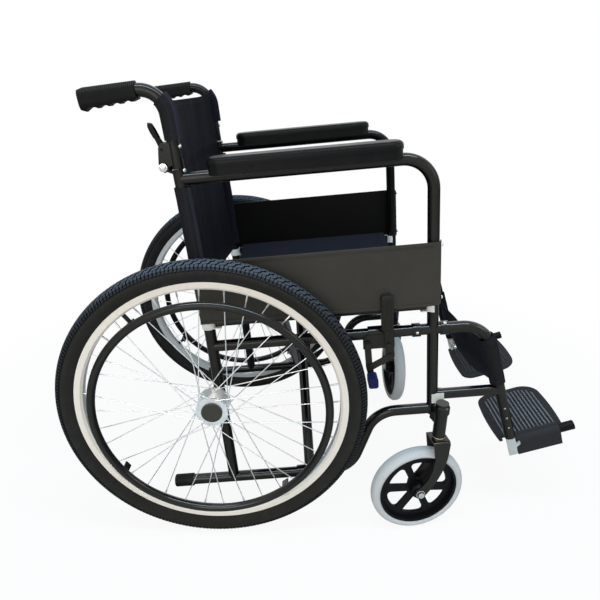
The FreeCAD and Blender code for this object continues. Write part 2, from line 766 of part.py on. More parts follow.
def latch():
    """Release paddle of the folding back."""
    leaf = [(-4.5, -6), (-5, 4), (2.5, 18), (8, 33), (12.5, 42), (17, 44), (18, 38),
            (15.5, 29), (9.5, 15), (4.5, -1), (1, -6)]
    outline = [(latch_pivot_y + y, latch_pivot_height + z) for y, z in leaf]
    half = latch_width / 2
    paddle = plate(outline, side_plane - half, side_plane + half)
    shoulder = latch_pivot_height + latch_width + 5
    for side in (-1, 1):
        x = sorted((side_plane + side * latch_waist / 2, side_plane + side * (half + 1)))
        paddle = paddle.cut(box(x[0], x[1], 0, 3 * latch_pivot_y, hinge_height, shoulder))
    reach = hinge_ear_width / 2 + hinge_side_gap + hinge_cheek_thickness + 1
    return paddle.fuse(pin(latch_pivot_y, latch_pivot_height, side_plane - reach,
                           side_plane + reach, latch_pin_radius))


def grip():
    """Hand grip with finger hollows underneath and a flared end."""
    ridges = [(0.0, grip_radius)]
    for number in range(3):
        ridges.append((grip_ridge_step * (number + 0.5),
                       grip_ridge + grip_ridge_drop * number))
    last_y = grip_ridge_step * 3.5
    ridges.append((last_y, grip_ridge + grip_ridge_drop * 3))
    top = grip_radius + 0.5
    edges = [Part.LineSegment(Vector(0, 0, top), Vector(0, 0, -grip_radius)).toShape(),
             Part.LineSegment(Vector(0, 0, -grip_radius),
                              Vector(0, ridges[1][0], -ridges[1][1])).toShape()]
    for (y0, z0), (y1, z1) in zip(ridges[1:-1], ridges[2:]):
        hollow = Vector(0, (y0 + y1) / 2, -(z0 + z1) / 2 + grip_hollow)
        edges.append(Part.Arc(Vector(0, y0, -z0), hollow, Vector(0, y1, -z1)).toShape())
    last = Vector(0, last_y, -ridges[-1][1])
    flare = Vector(0, grip_length - 7, -grip_flare)
    hollow = Vector(0, (last_y + flare.y) / 2, last.z + grip_hollow)
    end_low = Vector(0, grip_length, -grip_flare + 4)
    end_high = Vector(0, grip_length, grip_radius - 2)
    crest = Vector(0, grip_length - 9, grip_radius + 1)
    edges += [Part.Arc(last, hollow, flare).toShape(),
              Part.LineSegment(flare, end_low).toShape(),
              Part.LineSegment(end_low, end_high).toShape(),
              Part.LineSegment(end_high, crest).toShape(),
              Part.LineSegment(crest, Vector(0, 0, top)).toShape()]
    reach = 2 * grip_radius
    side = Part.Face(Part.Wire(edges))
    side.translate(Vector(-reach, 0, 0))
    side = side.extrude(Vector(2 * reach, 0, 0))
    high = 1.2
    low = high - grip_depth
    section = Part.Wire([
        Part.Arc(Vector(grip_radius, 0, high), Vector(0, 0, high + grip_radius),
                 Vector(-grip_radius, 0, high)).toShape(),
        Part.LineSegment(Vector(-grip_radius, 0, high), Vector(-grip_radius, 0, low)).toShape(),
        Part.Arc(Vector(-grip_radius, 0, low), Vector(0, 0, low - grip_radius),
                 Vector(grip_radius, 0, low)).toShape(),
        Part.LineSegment(Vector(grip_radius, 0, low), Vector(grip_radius, 0, high)).toShape()])
    body = Part.Face(section).extrude(Vector(0, grip_length, 0)).common(side)
    body = body.cut(cylinder(Vector(0, -1, 0), Vector(0, grip_length - grip_end_wall, 0), soft))
    body.rotate(Vector(), Vector(1, 0, 0), -handle_drop)
    body.translate(grip_start)
    return body


# ---------------------------------------------------------------- rear wheel
def wheel_ring(points):
    """A ring of the wheel from its (radius, offset from the wheel's plane) outline."""
    ring = revolved([(wheel_plane + a, r) for r, a in points])
    ring.translate(axle)
    return ring


def tyre():
    """Hollow tyre, open towards the rim."""
    bead = rim_bed_radius + fixed_gap
    hold = rim_half_width - rim_flange_thickness - fixed_gap
    lip = rim_flange_radius + 1.0
    crown, side, wide = wheel_radius, tyre_shoulder_radius, tyre_half_width

    def half(inset, sign):
        low = Vector(sign * (hold - inset), 0, lip)
        mid = Vector(sign * (wide - inset), 0, side)
        top = Vector(0, 0, crown - inset)
        flank = Vector(sign * (wide - inset - (wide - hold) * 0.26), 0, (lip + side) / 2)
        drop = (top.z - mid.z) * 0.76
        shoulder = Vector(sign * (wide - inset) * 0.65, 0, mid.z + drop)
        return [Part.Arc(low, flank, mid).toShape(), Part.Arc(mid, shoulder, top).toShape()]

    edges = half(0, -1) + half(0, 1)
    edges += half(tyre_wall, -1) + half(tyre_wall, 1)
    for sign in (-1, 1):
        foot_out, foot_in = Vector(sign * hold, 0, bead), Vector(sign * (hold - tyre_wall), 0, bead)
        lip_out, lip_in = Vector(sign * hold, 0, lip), Vector(sign * (hold - tyre_wall), 0, lip)
        edges += [Part.LineSegment(lip_out, foot_out).toShape(),
                  Part.LineSegment(foot_out, foot_in).toShape(),
                  Part.LineSegment(foot_in, lip_in).toShape()]
    wire = Part.Wire(Part.__sortEdges__(edges))
    ring = Part.Face(wire).revolve(Vector(), Vector(1, 0, 0), 360)
    ring.translate(axle + Vector(wheel_plane, 0, 0))
    return ring


def rim():
    """Double walled rim with two flanges."""
    flange = rim_half_width - rim_flange_thickness
    shoulder = rim_inner_radius + rim_side_depth
    half = [(rim_bed_radius, flange), (rim_flange_radius, flange),
            (rim_flange_radius, rim_half_width), (shoulder, rim_half_width),
            (rim_inner_radius, rim_inner_half_width)]
    return wheel_ring(half + [(r, -a) for r, a in reversed(half)])


def spokes():
    """Hub with two flanges and crossed spokes, tangential, half to each flange."""
    end_out = hub_outer_flange + hub_flange_thickness / 2
    end_in = hub_inner_flange - hub_flange_thickness / 2
    waist = hub_shell_radius
    profile = [(end_in - hub_end_length, axle_radius + running_gap),
               (end_in - hub_end_length, waist), (end_in, waist), (end_in, hub_flange_radius),
               (end_in + hub_flange_thickness, hub_flange_radius),
               (end_in + hub_flange_thickness, waist),
               (end_out - hub_flange_thickness, waist),
               (end_out - hub_flange_thickness, hub_flange_radius),
               (end_out, hub_flange_radius), (end_out, axle_radius + running_gap)]
    hub = revolved(profile)
    per_flange = spoke_count // 2
    step = 2 * math.pi / per_flange
    lacing = math.radians(spoke_lacing_angle)
    wires = []
    for number in range(spoke_count):
        flange, place_no = number % 2, number // 2
        lead = 1 if place_no % 2 else -1
        hub_angle = step * place_no + flange * step / 2 + math.radians(spoke_turn)
        rim_angle = hub_angle + lead * lacing
        plane = hub_outer_flange if flange else hub_inner_flange
        towards_rim = -1 if flange else 1
        start = Vector(plane + lead * spoke_stagger, spoke_circle_radius * math.cos(hub_angle),
                       spoke_circle_radius * math.sin(hub_angle))
        reach = rim_inner_radius - fixed_gap
        end = Vector(wheel_plane - towards_rim * spoke_rim_offset, reach * math.cos(rim_angle),
                     reach * math.sin(rim_angle))
        wires.append(cylinder(start, end, spoke_radius))
    hub = hub.fuse(wires)
    hub.translate(axle)
    return hub


def axle_piece():
    """Fixed rear axle with its nut, spacer and outer cap."""
    spacer_start = side_plane + tube_radius + 0.1
    spacer_end = hub_inner_flange - hub_flange_thickness / 2 - hub_end_length - fixed_gap
    cap_start = hub_outer_flange + hub_flange_thickness / 2 + fixed_gap
    nut_end = side_plane - tube_radius - 0.1
    shaft = pin(0, wheel_radius, nut_end - axle_nut_thickness, cap_start + 1, axle_radius)
    nut = pin(0, wheel_radius, nut_end - axle_nut_thickness, nut_end, axle_nut_radius)
    spacer = pin(0, wheel_radius, spacer_start, spacer_end, axle_spacer_radius)
    cap = pin(0, wheel_radius, cap_start, cap_start + hub_cap_length, hub_cap_radius)
    cap = rounded(cap, 2.0, lambda e: abs(e.CenterOfMass.x - cap_start - hub_cap_length) < 0.1
                  and e.Length > 2 * math.pi * hub_cap_radius - 1)
    return shaft.fuse([nut, spacer, cap])


def handrim():
    """Push rim with tabs that screw to the inside of the wheel's rim."""
    centre_radius = handrim_outer_radius - handrim_tube_radius
    ring, core = [Part.makeTorus(centre_radius, radius, Vector(handrim_plane, 0, 0),
                                 Vector(1, 0, 0))
                  for radius in (handrim_tube_radius, handrim_tube_radius - handrim_wall)]
    tabs = []
    radius = centre_radius + handrim_tube_radius - handrim_tab_thickness
    for number in range(handrim_tab_count):
        tab = box(handrim_tab_reach - 6, handrim_plane, -handrim_tab_width / 2,
                  handrim_tab_width / 2, radius - handrim_tab_thickness, radius)
        screw = cylinder(Vector(handrim_tab_reach, 0, radius - 1),
                         Vector(handrim_tab_reach, 0, rim_inner_radius - fixed_gap),
                         handrim_screw_radius)
        tab = tab.fuse(screw)
        turn = handrim_tab_first + number * 360 / handrim_tab_count
        tab.rotate(Vector(), Vector(1, 0, 0), 90 - turn)
        tabs.append(tab)
    ring = ring.fuse(tabs).cut(core)
    ring.translate(axle)
    return ring


# ---------------------------------------------------------------- castor
def castor_fork():
    """Pressed fork: crown, two legs that sweep back, washer, stem and wheel bolt."""
    trail, wheel = castor_trail, castor_radius
    outer = fork_leg_inner + fork_leg_thickness
    half = fork_crown_half
    front = [Vector(0, -half, fork_crown_top), Vector(0, -half + 2, 190),
             Vector(0, trail - 36, 136), Vector(0, trail - 11, wheel - 5)]
    rear = [Vector(0, trail + 6, wheel + 10), Vector(0, trail - 18, 146), Vector(0, 12, 190),
            Vector(0, half, fork_crown_top)]
    outline = Part.Wire([Part.LineSegment(front[0], front[1]).toShape(),
                         Part.Arc(front[1], front[2], front[3]).toShape(),
                         Part.LineSegment(front[3], rear[0]).toShape(),
                         Part.Arc(rear[0], rear[1], rear[2]).toShape(),
                         Part.LineSegment(rear[2], rear[3]).toShape(),
                         Part.LineSegment(rear[3], front[0]).toShape()])
    sides = Part.Face(outline).extrude(Vector(2 * outer, 0, 0))
    sides = sides.fuse(pin(trail, wheel, 0, 2 * outer, fork_eye_radius))
    sides.translate(Vector(-outer, 0, 0))
    underside = fork_crown_top - fork_crown_thickness
    arch = []
    for x, top, edge in ((outer, fork_crown_top, fork_crown_edge),
                         (fork_leg_inner, underside, fork_crown_corner)):
        block = box(-x, x, -2 * castor_radius, 2 * castor_radius, 0, top)
        arch.append(rounded(block, edge, lambda e: abs(e.tangentAt(e.FirstParameter).y) > 0.9
                            and e.CenterOfMass.z > top - 1))
    fork = sides.common(arch[0].cut(arch[1]))
    washer = cylinder(Vector(0, 0, fork_crown_top - 1),
                      Vector(0, 0, barrel_bottom - fixed_gap), fork_washer_radius)
    stem = cylinder(Vector(0, 0, fork_crown_top - fork_crown_thickness),
                    Vector(0, 0, stem_top), stem_radius)
    bolt = pin(trail, wheel, -outer - castor_axle_head_length, outer + castor_axle_head_length,
               castor_axle_radius)
    heads = [pin(trail, wheel, outer, outer + castor_axle_head_length, castor_axle_head),
             pin(trail, wheel, -outer - castor_axle_head_length, -outer, castor_axle_head)]
    return fork.fuse([washer, stem, bolt] + heads)


def castor_tyre():
    """Solid tyre of the castor."""
    half, tread, inner = castor_width / 2, castor_radius, castor_tyre_inner
    low_left, low_right = Vector(-half + 3, 0, inner), Vector(half - 3, 0, inner)
    side = inner + 6.0
    edges = [Part.LineSegment(low_left, low_right).toShape(),
             Part.Arc(low_right, Vector(half - 0.6, 0, inner + 3), Vector(half, 0, side)).toShape(),
             Part.Arc(Vector(half, 0, side), Vector(half * 0.68, 0, tread - 2.6),
                      Vector(0, 0, tread)).toShape(),
             Part.Arc(Vector(0, 0, tread), Vector(-half * 0.68, 0, tread - 2.6),
                      Vector(-half, 0, side)).toShape(),
             Part.Arc(Vector(-half, 0, side), Vector(-half + 0.6, 0, inner + 3),
                      low_left).toShape()]
    ring = Part.Face(Part.Wire(edges)).revolve(Vector(), Vector(1, 0, 0), 360)
    ring.translate(Vector(0, castor_trail, castor_radius))
    return ring


def castor_wheel():
    """Castor rim: hub, web with rounded windows and a channel for the tyre."""
    rim_out = castor_tyre_inner - fixed_gap
    rim_in = rim_out - castor_rim_wall
    hub_half = fork_leg_inner - 0.4
    half = [(castor_web_half, castor_hub_radius), (castor_web_half, rim_in),
            (castor_rim_half_width, rim_in + 2), (castor_rim_half_width, rim_out)]
    profile = [(hub_half, castor_axle_radius + running_gap), (hub_half, castor_hub_radius - 3),
               (hub_half - 5, castor_hub_radius)] + half
    wheel = revolved(profile + [(-a, r) for a, r in reversed(profile)])
    step = 360 / castor_window_count
    low, high = castor_hub_radius + 6, rim_in - castor_window_inset
    half_angle = math.radians(step / 2)
    side_low = low * math.tan(half_angle) - castor_window_gap / 2 / math.cos(half_angle)
    side_high = high * math.sin(half_angle) - castor_window_gap / 2
    reach = math.sqrt(high ** 2 - side_high ** 2)
    corners = [Vector(-10, -max(side_low, 2), low), Vector(-10, max(side_low, 2), low),
               Vector(-10, side_high, reach), Vector(-10, -side_high, reach)]
    outline = [Part.LineSegment(corners[3], corners[0]).toShape(),
               Part.LineSegment(corners[0], corners[1]).toShape(),
               Part.LineSegment(corners[1], corners[2]).toShape(),
               Part.Arc(corners[2], Vector(-10, 0, high), corners[3]).toShape()]
    window = Part.Face(Part.Wire(outline)).extrude(Vector(20, 0, 0))
    window = rounded(window, castor_window_corner,
                     lambda e: abs(e.tangentAt(e.FirstParameter).x) > 0.9
                     and e.CenterOfMass.z > low + 5)
    cuts = []
    for number in range(castor_window_count):
        copy = window.copy()
        copy.rotate(Vector(), Vector(1, 0, 0), castor_window_turn + number * step)
        cuts.append(copy)
    wheel = wheel.cut(cuts)
    wheel.translate(Vector(0, castor_trail, castor_radius))
    return wheel


# ---------------------------------------------------------------- brake
def brake_bracket():
    """Clamp on the upper rail with the two brake pivots."""
    outer = bracket_inner + bracket_thickness
    bottom, top = rail_height - bracket_drop, rail_height + bracket_rise
    cut = bracket_corner
    sheet = plate([(bracket_front_y, bottom), (bracket_front_y, top - cut),
                   (bracket_front_y + cut, top), (bracket_rear_y - cut, top),
                   (bracket_rear_y, top - cut), (bracket_rear_y, bottom)],
                  bracket_inner, outer)
    start = Vector(side_plane, clamp_y - clamp_length / 2, rail_height)
    end = Vector(side_plane, clamp_y + clamp_length / 2, rail_height)
    clamp = cylinder(start, end, clamp_radius)
    solid = sheet.fuse(clamp).cut(cylinder(start - Vector(0, 50, 0), end + Vector(0, 50, 0),
                                           soft))
    reach = brake_plane + 2 * brake_bar_thickness
    pins = []
    for y, z in (lever_pivot, arm_pivot):
        pins.append(pin(y, z, outer - 1, reach, brake_pin_radius))
        pins.append(pin(y, z, outer - 1, brake_plane - fixed_gap, brake_pin_radius + 2.5))
    return solid.fuse(pins)


def bar_between(first, second, width, inner, thickness):
    """A flat bar with round ends between two (y, z) points."""
    (y0, z0), (y1, z1) = first, second
    length = math.hypot(y1 - y0, z1 - z0)
    side_y, side_z = -(z1 - z0) / length * width / 2, (y1 - y0) / length * width / 2
    body = plate([(y0 + side_y, z0 + side_z), (y1 + side_y, z1 + side_z),
                  (y1 - side_y, z1 - side_z), (y0 - side_y, z0 - side_z)],
                 inner, inner + thickness)
    return body.fuse([pin(y0, z0, inner, inner + thickness, width / 2),
                      pin(y1, z1, inner, inner + thickness, width / 2)])


def brake_lever():
    """Hand lever: flat bar with a ribbed handle."""
    y0, z0 = lever_pivot
    bottom = rail_height + brake_handle_rise
    top = bottom + brake_handle_length
    bar = bar_between((y0, bottom + brake_bar_thickness), lever_pin, brake_bar_width,
                      brake_plane, brake_bar_thickness)
    start = y0 - brake_bar_width / 2
    handle = box(brake_plane, brake_plane + brake_handle_thickness, start,
                 start + brake_handle_width, bottom, top)
    handle = rounded(handle, brake_handle_round,
                     lambda e: abs(e.tangentAt(e.FirstParameter).x) > 0.9
                     and e.CenterOfMass.z > top - 1)
    handle = rounded(handle, brake_handle_edge, lambda e: e.CenterOfMass.x > brake_plane
                     + brake_handle_thickness - 0.1)
    grooves = []
    pitch_y = brake_handle_width / (brake_handle_ribs + 1)
    face = brake_plane + brake_handle_thickness
    for number in range(brake_handle_ribs):
        y = start + (number + 1) * pitch_y
        grooves.append(box(face - brake_groove, face + 1, y - brake_groove / 2,
                           y + brake_groove / 2, bottom - 1, top - brake_handle_round - 2))
    handle = handle.cut(grooves)
    bores = [pin(y0, z0, brake_plane - 5, face, brake_pin_radius + running_gap),
             pin(*lever_pin, brake_plane - 5, face, link_pin_radius + running_gap)]
    return bar.fuse(handle).cut(bores)


def brake_link():
    """Link from the hand lever to the brake arm, with both its pins."""
    inner = brake_plane + brake_bar_thickness + fixed_gap
    link = bar_between(lever_pin, arm_pin, brake_link_width, inner, brake_link_thickness)
    pins = [pin(y, z, brake_plane - 0.8, inner + brake_link_thickness + 1.5, link_pin_radius)
            for y, z in (lever_pin, arm_pin)]
    return link.fuse(pins)


def brake_arm():
    """Arm that swings the brake shoe against the tyre."""
    y0, z0 = arm_pivot
    middle = (shoe_front_y + shoe_rear_y) / 2
    bar = bar_between(arm_pivot, arm_pin, brake_arm_width, brake_plane, brake_bar_thickness)
    foot = bar_between(arm_pin, (middle, shoe_pin_height), brake_arm_width, brake_plane,
                       brake_bar_thickness)
    stub = pin(middle, shoe_pin_height, brake_plane, shoe_outer - 5, shoe_pin_radius)
    bores = [pin(y0, z0, brake_plane - 5, brake_plane + 9, brake_pin_radius + running_gap),
             pin(*arm_pin, brake_plane - 5, brake_plane + 9,
                 link_pin_radius + open_pin_gap)]
    return bar.fuse([foot, stub]).cut(bores)


def brake_shoe():
    """Plastic shoe on the arm's stub."""
    middle = (shoe_front_y + shoe_rear_y) / 2
    low = shoe_pin_height - shoe_height / 2
    shoe = box(shoe_inner, shoe_outer, shoe_front_y, shoe_rear_y, low, low + shoe_height)
    shoe = rounded(shoe, 5.0, lambda e: abs(e.tangentAt(e.FirstParameter).x) > 0.9)
    return shoe.cut(pin(middle, shoe_pin_height, shoe_inner - 1, shoe_outer - 4,
                        shoe_pin_radius + fixed_gap))


# ---------------------------------------------------------------- across the chair
def brace(y, low_side, joined_bolt):
    """One bar of the cross brace with its lower sleeve and its seat rail."""
    low = Vector(low_side * side_plane, y, base_height)
    high = Vector(-low_side * side_plane, y, seat_height)
    along = Vector(0, sleeve_length / 2, 0)
    rail_front = Vector(high.x, seat_rail_front_y, seat_height)
    rail_rear = Vector(high.x, seat_rail_rear_y, seat_height)
    inside = brace_radius - tube_wall
    rail = cylinder(rail_front, rail_rear, tube_radius)
    rail_bore = cylinder(rail_front + Vector(0, tube_wall, 0), rail_rear - Vector(0, tube_wall, 0),
                         tube_radius - tube_wall)
    bar = cylinder(low, high, brace_radius).cut(cylinder(low, high, inside))
    sleeve = cylinder(low - along, low + along, sleeve_radius)
    rail_bore_clear = cylinder(low - 2 * along, low + 2 * along, tube_radius + running_gap)
    solid = bar.cut(cylinder(rail_front, rail_rear, tube_radius - tube_wall))
    solid = solid.fuse([rail.cut(rail_bore), sleeve]).cut(rail_bore_clear)
    centre = Vector(0, y, (base_height + seat_height) / 2)
    if not joined_bolt:
        reach = Vector(0, 2 * brace_radius, 0)
        return solid.cut(cylinder(centre - reach, centre + reach,
                                  brace_bolt_radius + running_gap))
    other = abs(brace_b_y - brace_a_y)
    front = centre - Vector(0, brace_radius + brace_bolt_head_length, 0)
    far = centre + Vector(0, other + brace_radius + fixed_gap, 0)
    washer_end = centre + Vector(0, other - brace_radius - fixed_gap, 0)
    return solid.fuse([
        cylinder(front, far + Vector(0, brace_bolt_head_length, 0), brace_bolt_radius),
        cylinder(front, front + Vector(0, brace_bolt_head_length + 3, 0), brace_bolt_head),
        cylinder(far, far + Vector(0, brace_bolt_head_length, 0), brace_bolt_head),
        cylinder(centre + Vector(0, brace_radius - 3, 0), washer_end, brace_bolt_head)])


def back_sling(post_path, bend, sleeve_side, web_heights):
    """A back panel between the posts with a sleeve round each of them.

    The sleeves reach as far along the path as sleeve_side, a (y, z) outline.
    """
    web_bottom, web_top = web_heights
    outer = soft + fabric_thickness
    depth = fabric_thickness / 2
    outline = [(post_y(web_bottom) - depth, web_bottom), (post_y(web_top) - depth, web_top),
               (post_y(web_top) + depth, web_top), (post_y(web_bottom) + depth, web_bottom)]
    edge = side_plane - soft - depth
    web = plate(outline, -edge, edge)
    sleeve = swept(post_path, bend, outer).common(plate(sleeve_side, 0, 2 * side_plane))
    bore = swept(post_path, bend, soft)
    return web.fuse([sleeve, mirrored(sleeve)]).cut([bore, mirrored(bore)])


def seat_sling():
    """Seat fabric over both seat rails, sagging a little between them."""
    top = seat_height + soft
    thick = fabric_thickness
    left, right = Vector(-side_plane, 0, top), Vector(side_plane, 0, top)
    rise = Vector(0, 0, thick)
    sag = Vector(0, 0, -seat_sag)
    middle = Vector(0, 0, top)
    edges = [Part.Arc(left, middle + sag, right).toShape()]
    for side, start in ((1, right), (-1, left)):
        outer_end = Vector(side * (side_plane + soft + thick), 0, seat_height)
        inner_end = Vector(side * (side_plane + soft), 0, seat_height)
        diagonal = math.sqrt(0.5)
        inner_mid = Vector(side * (side_plane + soft * diagonal), 0,
                           seat_height + soft * diagonal)
        outer_mid = Vector(side * (side_plane + (soft + thick) * diagonal), 0,
                           seat_height + (soft + thick) * diagonal)
        edges += [Part.Arc(start, inner_mid, inner_end).toShape(),
                  Part.LineSegment(inner_end, outer_end).toShape(),
                  Part.Arc(outer_end, outer_mid, start + rise).toShape()]
    edges.append(Part.Arc(left + rise, middle + rise + sag, right + rise).toShape())
    profile = Part.Face(Part.Wire(Part.__sortEdges__(edges)))
    profile.translate(Vector(0, seat_rail_front_y + seat_end_gap, 0))
    length = seat_rail_rear_y - seat_rail_front_y - 2 * seat_end_gap
    return profile.extrude(Vector(0, length, 0))


def calf_strap():
    """Slack fabric band between the two hangers, looped round each at its own height."""
    outer = soft + fabric_thickness
    edge = side_plane - soft - fabric_thickness / 2
    depth = fabric_thickness / 2
    (right_low, right_high), (left_low, left_high) = calf_loops["right"], calf_loops["left"]
    corners = [Vector(-edge, -depth, right_low), Vector(edge, -depth, left_low),
               Vector(edge, -depth, left_high), Vector(-edge, -depth, right_high)]
    low = Vector(0, -depth, (right_low + left_low) / 2 - calf_sag)
    high = Vector(0, -depth, (right_high + left_high) / 2 - calf_sag)
    wire = Part.Wire([
        Part.Arc(corners[0], low, corners[1]).toShape(),
        Part.LineSegment(corners[1], corners[2]).toShape(),
        Part.Arc(corners[2], high, corners[3]).toShape(),
        Part.LineSegment(corners[3], corners[0]).toShape()])
    web = Part.Face(wire).extrude(Vector(0, 2 * depth, 0))
    loops = []
    for low, high in (calf_loops["right"], calf_loops["left"]):
        span = box(0, 2 * side_plane, -side_plane, side_plane, low, high)
        loops.append(swept(hanger_line, hanger_bend, outer).common(slanted(span)))
    under_stay = (hanger_stay_height - tube_radius - hanger_foot_height) / math.cos(pitch)
    notch = box(0, side_plane + outer, depth + calf_stay_gap, outer + 1,
                under_stay - calf_stay_gap, left_high + 1)
    loops[1] = loops[1].cut([slanted(notch), cylinder(*stay_line, soft)])
    bore = swept(hanger_line, hanger_bend, soft)
    return slanted(web).fuse([mirrored(loops[0]), loops[1]]).cut([bore, mirrored(bore)])


# ---------------------------------------------------------------- placing and writing
def mirrored(shape):
    return shape.mirror(Vector(), Vector(1, 0, 0))


def write(name, shape):
    """Move a finished piece to the origin below the middle of the chair and save it."""
    final = shape.copy()
    final.translate(origin * -1)
    final.exportStep("parts/" + name + ".step")


def castor_placed(shape, side):
    """A castor piece drawn at its pivot, turned as it stands and moved to its side."""
    turn = castor_turn[side]
    placed = shape.copy()
    placed.rotate(Vector(), Vector(0, 0, 1), turn)
    direction = 1 if side == "left" else -1
    placed.translate(Vector(direction * castor_pivot_x, castor_pivot_y, 0))
    return placed


def main():
    front, rear = rear_post_y - side_plane / 2, rear_post_y + side_plane / 2
    low, high = seat_height + sleeve_above_seat, rear_post_top - sleeve_below_post
    lower_sleeves = [(front, low), (front, high), (rear, high), (rear, low)]
    low = rear_post_top + sleeve_above_post
    bend_y, bend_z = post_y(handle_height) + back_bend, handle_height - back_bend
    slope = math.tan(math.radians(sleeve_end_angle))
    upper_sleeves = [(front, low), (front, bend_z + (bend_y - front) * slope),
                     (bend_y, bend_z), (bend_y, low)]
    os.makedirs("parts", exist_ok=True)
    leaning = {"arm_tube": arm_tube(), "back_frame": back_frame(), "tip": tip(),
               "side_panel": side_panel(), "arm_pad": arm_pad(), "white_clips": white_clips(),
               "hanger": hanger(), "foot_tube": foot_tube(), "footplate": footplate(),
               "back_tube": back_tube(), "latch": latch(), "grip": grip(),
               "tyre": tyre(), "rim": rim(), "spokes": spokes(), "axle": axle_piece(),
               "handrim": handrim(), "brake_bracket": brake_bracket(),
               "brake_lever": brake_lever(), "brake_link": brake_link(),
               "brake_arm": brake_arm(), "brake_shoe": brake_shoe()}
    castor = {"castor_fork": castor_fork(), "castor_tyre": castor_tyre(),
              "castor_wheel": castor_wheel()}
    base = base_tube()
    for side in ("left", "right"):
        for name, shape in leaning.items():
            sided = shape if side == "left" else mirrored(shape)
            write(name + "_" + side, stood(sided))
        write("base_tube_" + side, base if side == "left" else mirrored(base))
        for name, shape in castor.items():
            write(name + "_" + side, castor_placed(shape, side))
    across = {"brace_a": brace(brace_a_y, -1, True), "brace_b": brace(brace_b_y, 1, False),
              "seat_sling": seat_sling(), "calf_strap": calf_strap(),
              "back_sling_lower": back_sling(rear_post_line, recline_bend, lower_sleeves,
                                             (seat_height + back_above_seat,
                                              rear_post_top - back_split_drop)),
              "back_sling_upper": back_sling(back_tube_line, back_bend, upper_sleeves,
                                             (rear_post_top + back_split_rise,
                                              handle_height - back_below_handle))}
    for name, shape in across.items():
        write(name, stood(shape))


if __name__ == "__main__":
    main()
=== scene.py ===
import json
import math
from contextlib import contextmanager

import bpy
from bpy.props import FloatProperty, FloatVectorProperty, IntProperty, PointerProperty
from bpy.types import Operator, Panel, PropertyGroup
from mathutils import Matrix, Vector, noise


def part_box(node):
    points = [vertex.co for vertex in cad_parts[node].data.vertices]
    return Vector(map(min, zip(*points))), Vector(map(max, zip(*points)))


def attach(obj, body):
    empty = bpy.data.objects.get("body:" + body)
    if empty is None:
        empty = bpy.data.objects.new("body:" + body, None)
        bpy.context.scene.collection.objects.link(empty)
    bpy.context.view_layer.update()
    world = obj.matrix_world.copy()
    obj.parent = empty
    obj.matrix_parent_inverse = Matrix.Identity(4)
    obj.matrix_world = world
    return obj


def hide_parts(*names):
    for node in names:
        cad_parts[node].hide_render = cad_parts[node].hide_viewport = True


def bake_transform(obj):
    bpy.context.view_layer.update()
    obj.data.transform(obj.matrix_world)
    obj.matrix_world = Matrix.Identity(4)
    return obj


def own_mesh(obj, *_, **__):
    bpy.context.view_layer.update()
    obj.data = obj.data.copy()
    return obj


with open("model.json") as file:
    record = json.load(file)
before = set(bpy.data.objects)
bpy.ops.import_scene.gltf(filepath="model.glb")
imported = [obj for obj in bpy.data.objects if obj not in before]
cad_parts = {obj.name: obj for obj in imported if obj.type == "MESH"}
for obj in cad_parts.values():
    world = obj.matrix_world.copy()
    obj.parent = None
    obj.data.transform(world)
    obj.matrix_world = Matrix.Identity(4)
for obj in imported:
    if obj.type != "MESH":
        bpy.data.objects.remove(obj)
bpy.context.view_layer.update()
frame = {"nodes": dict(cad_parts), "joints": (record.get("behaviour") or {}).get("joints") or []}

bl_info = {
    "name": "Folding Wheelchair Dressing",
    "version": (1, 0, 0),
    "blender": (4, 5, 0),
    "location": "View3D > Sidebar > Wheelchair",
    "description": "Fabric, tread, fasteners, finishes and studio for a folding wheelchair",
    "category": "Object",
}

# ------------------------------------------------------------------ places from the frame
SIDES = {"right": -1, "left": 1}


def middle(node):
    """Centre of a CAD node's box."""
    low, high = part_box(node)
    return (low + high) / 2


RIM = {side: middle("rim_" + side) for side in SIDES}
AXLE = (RIM["right"] + RIM["left"]) / 2
MIRROR = (Matrix.Translation((AXLE.x, 0, 0)) @ Matrix.Scale(-1, 4, (1, 0, 0))
          @ Matrix.Translation((-AXLE.x, 0, 0)))


def joint(name):
    """A joint of the frame, by its name."""
    return next(j for j in frame["joints"] if j["name"] == name)


# ------------------------------------------------------------------ sizes and colours
def size(name, metres, about):
    """A length in metres."""
    return FloatProperty(name=name, description=about, default=metres, unit="LENGTH",
                         precision=4)


def turn(name, degrees, about):
    """An angle, given in degrees."""
    return FloatProperty(name=name, description=about, default=math.radians(degrees),
                         subtype="ANGLE")


def count(name, number, about):
    """A whole number of pieces."""
    return IntProperty(name=name, description=about, default=number, min=1)


def colour(name, rgb, about):
    """A linear colour."""
    return FloatVectorProperty(name=name, description=about, default=rgb, size=3, min=0,
                               max=1, subtype="COLOR")


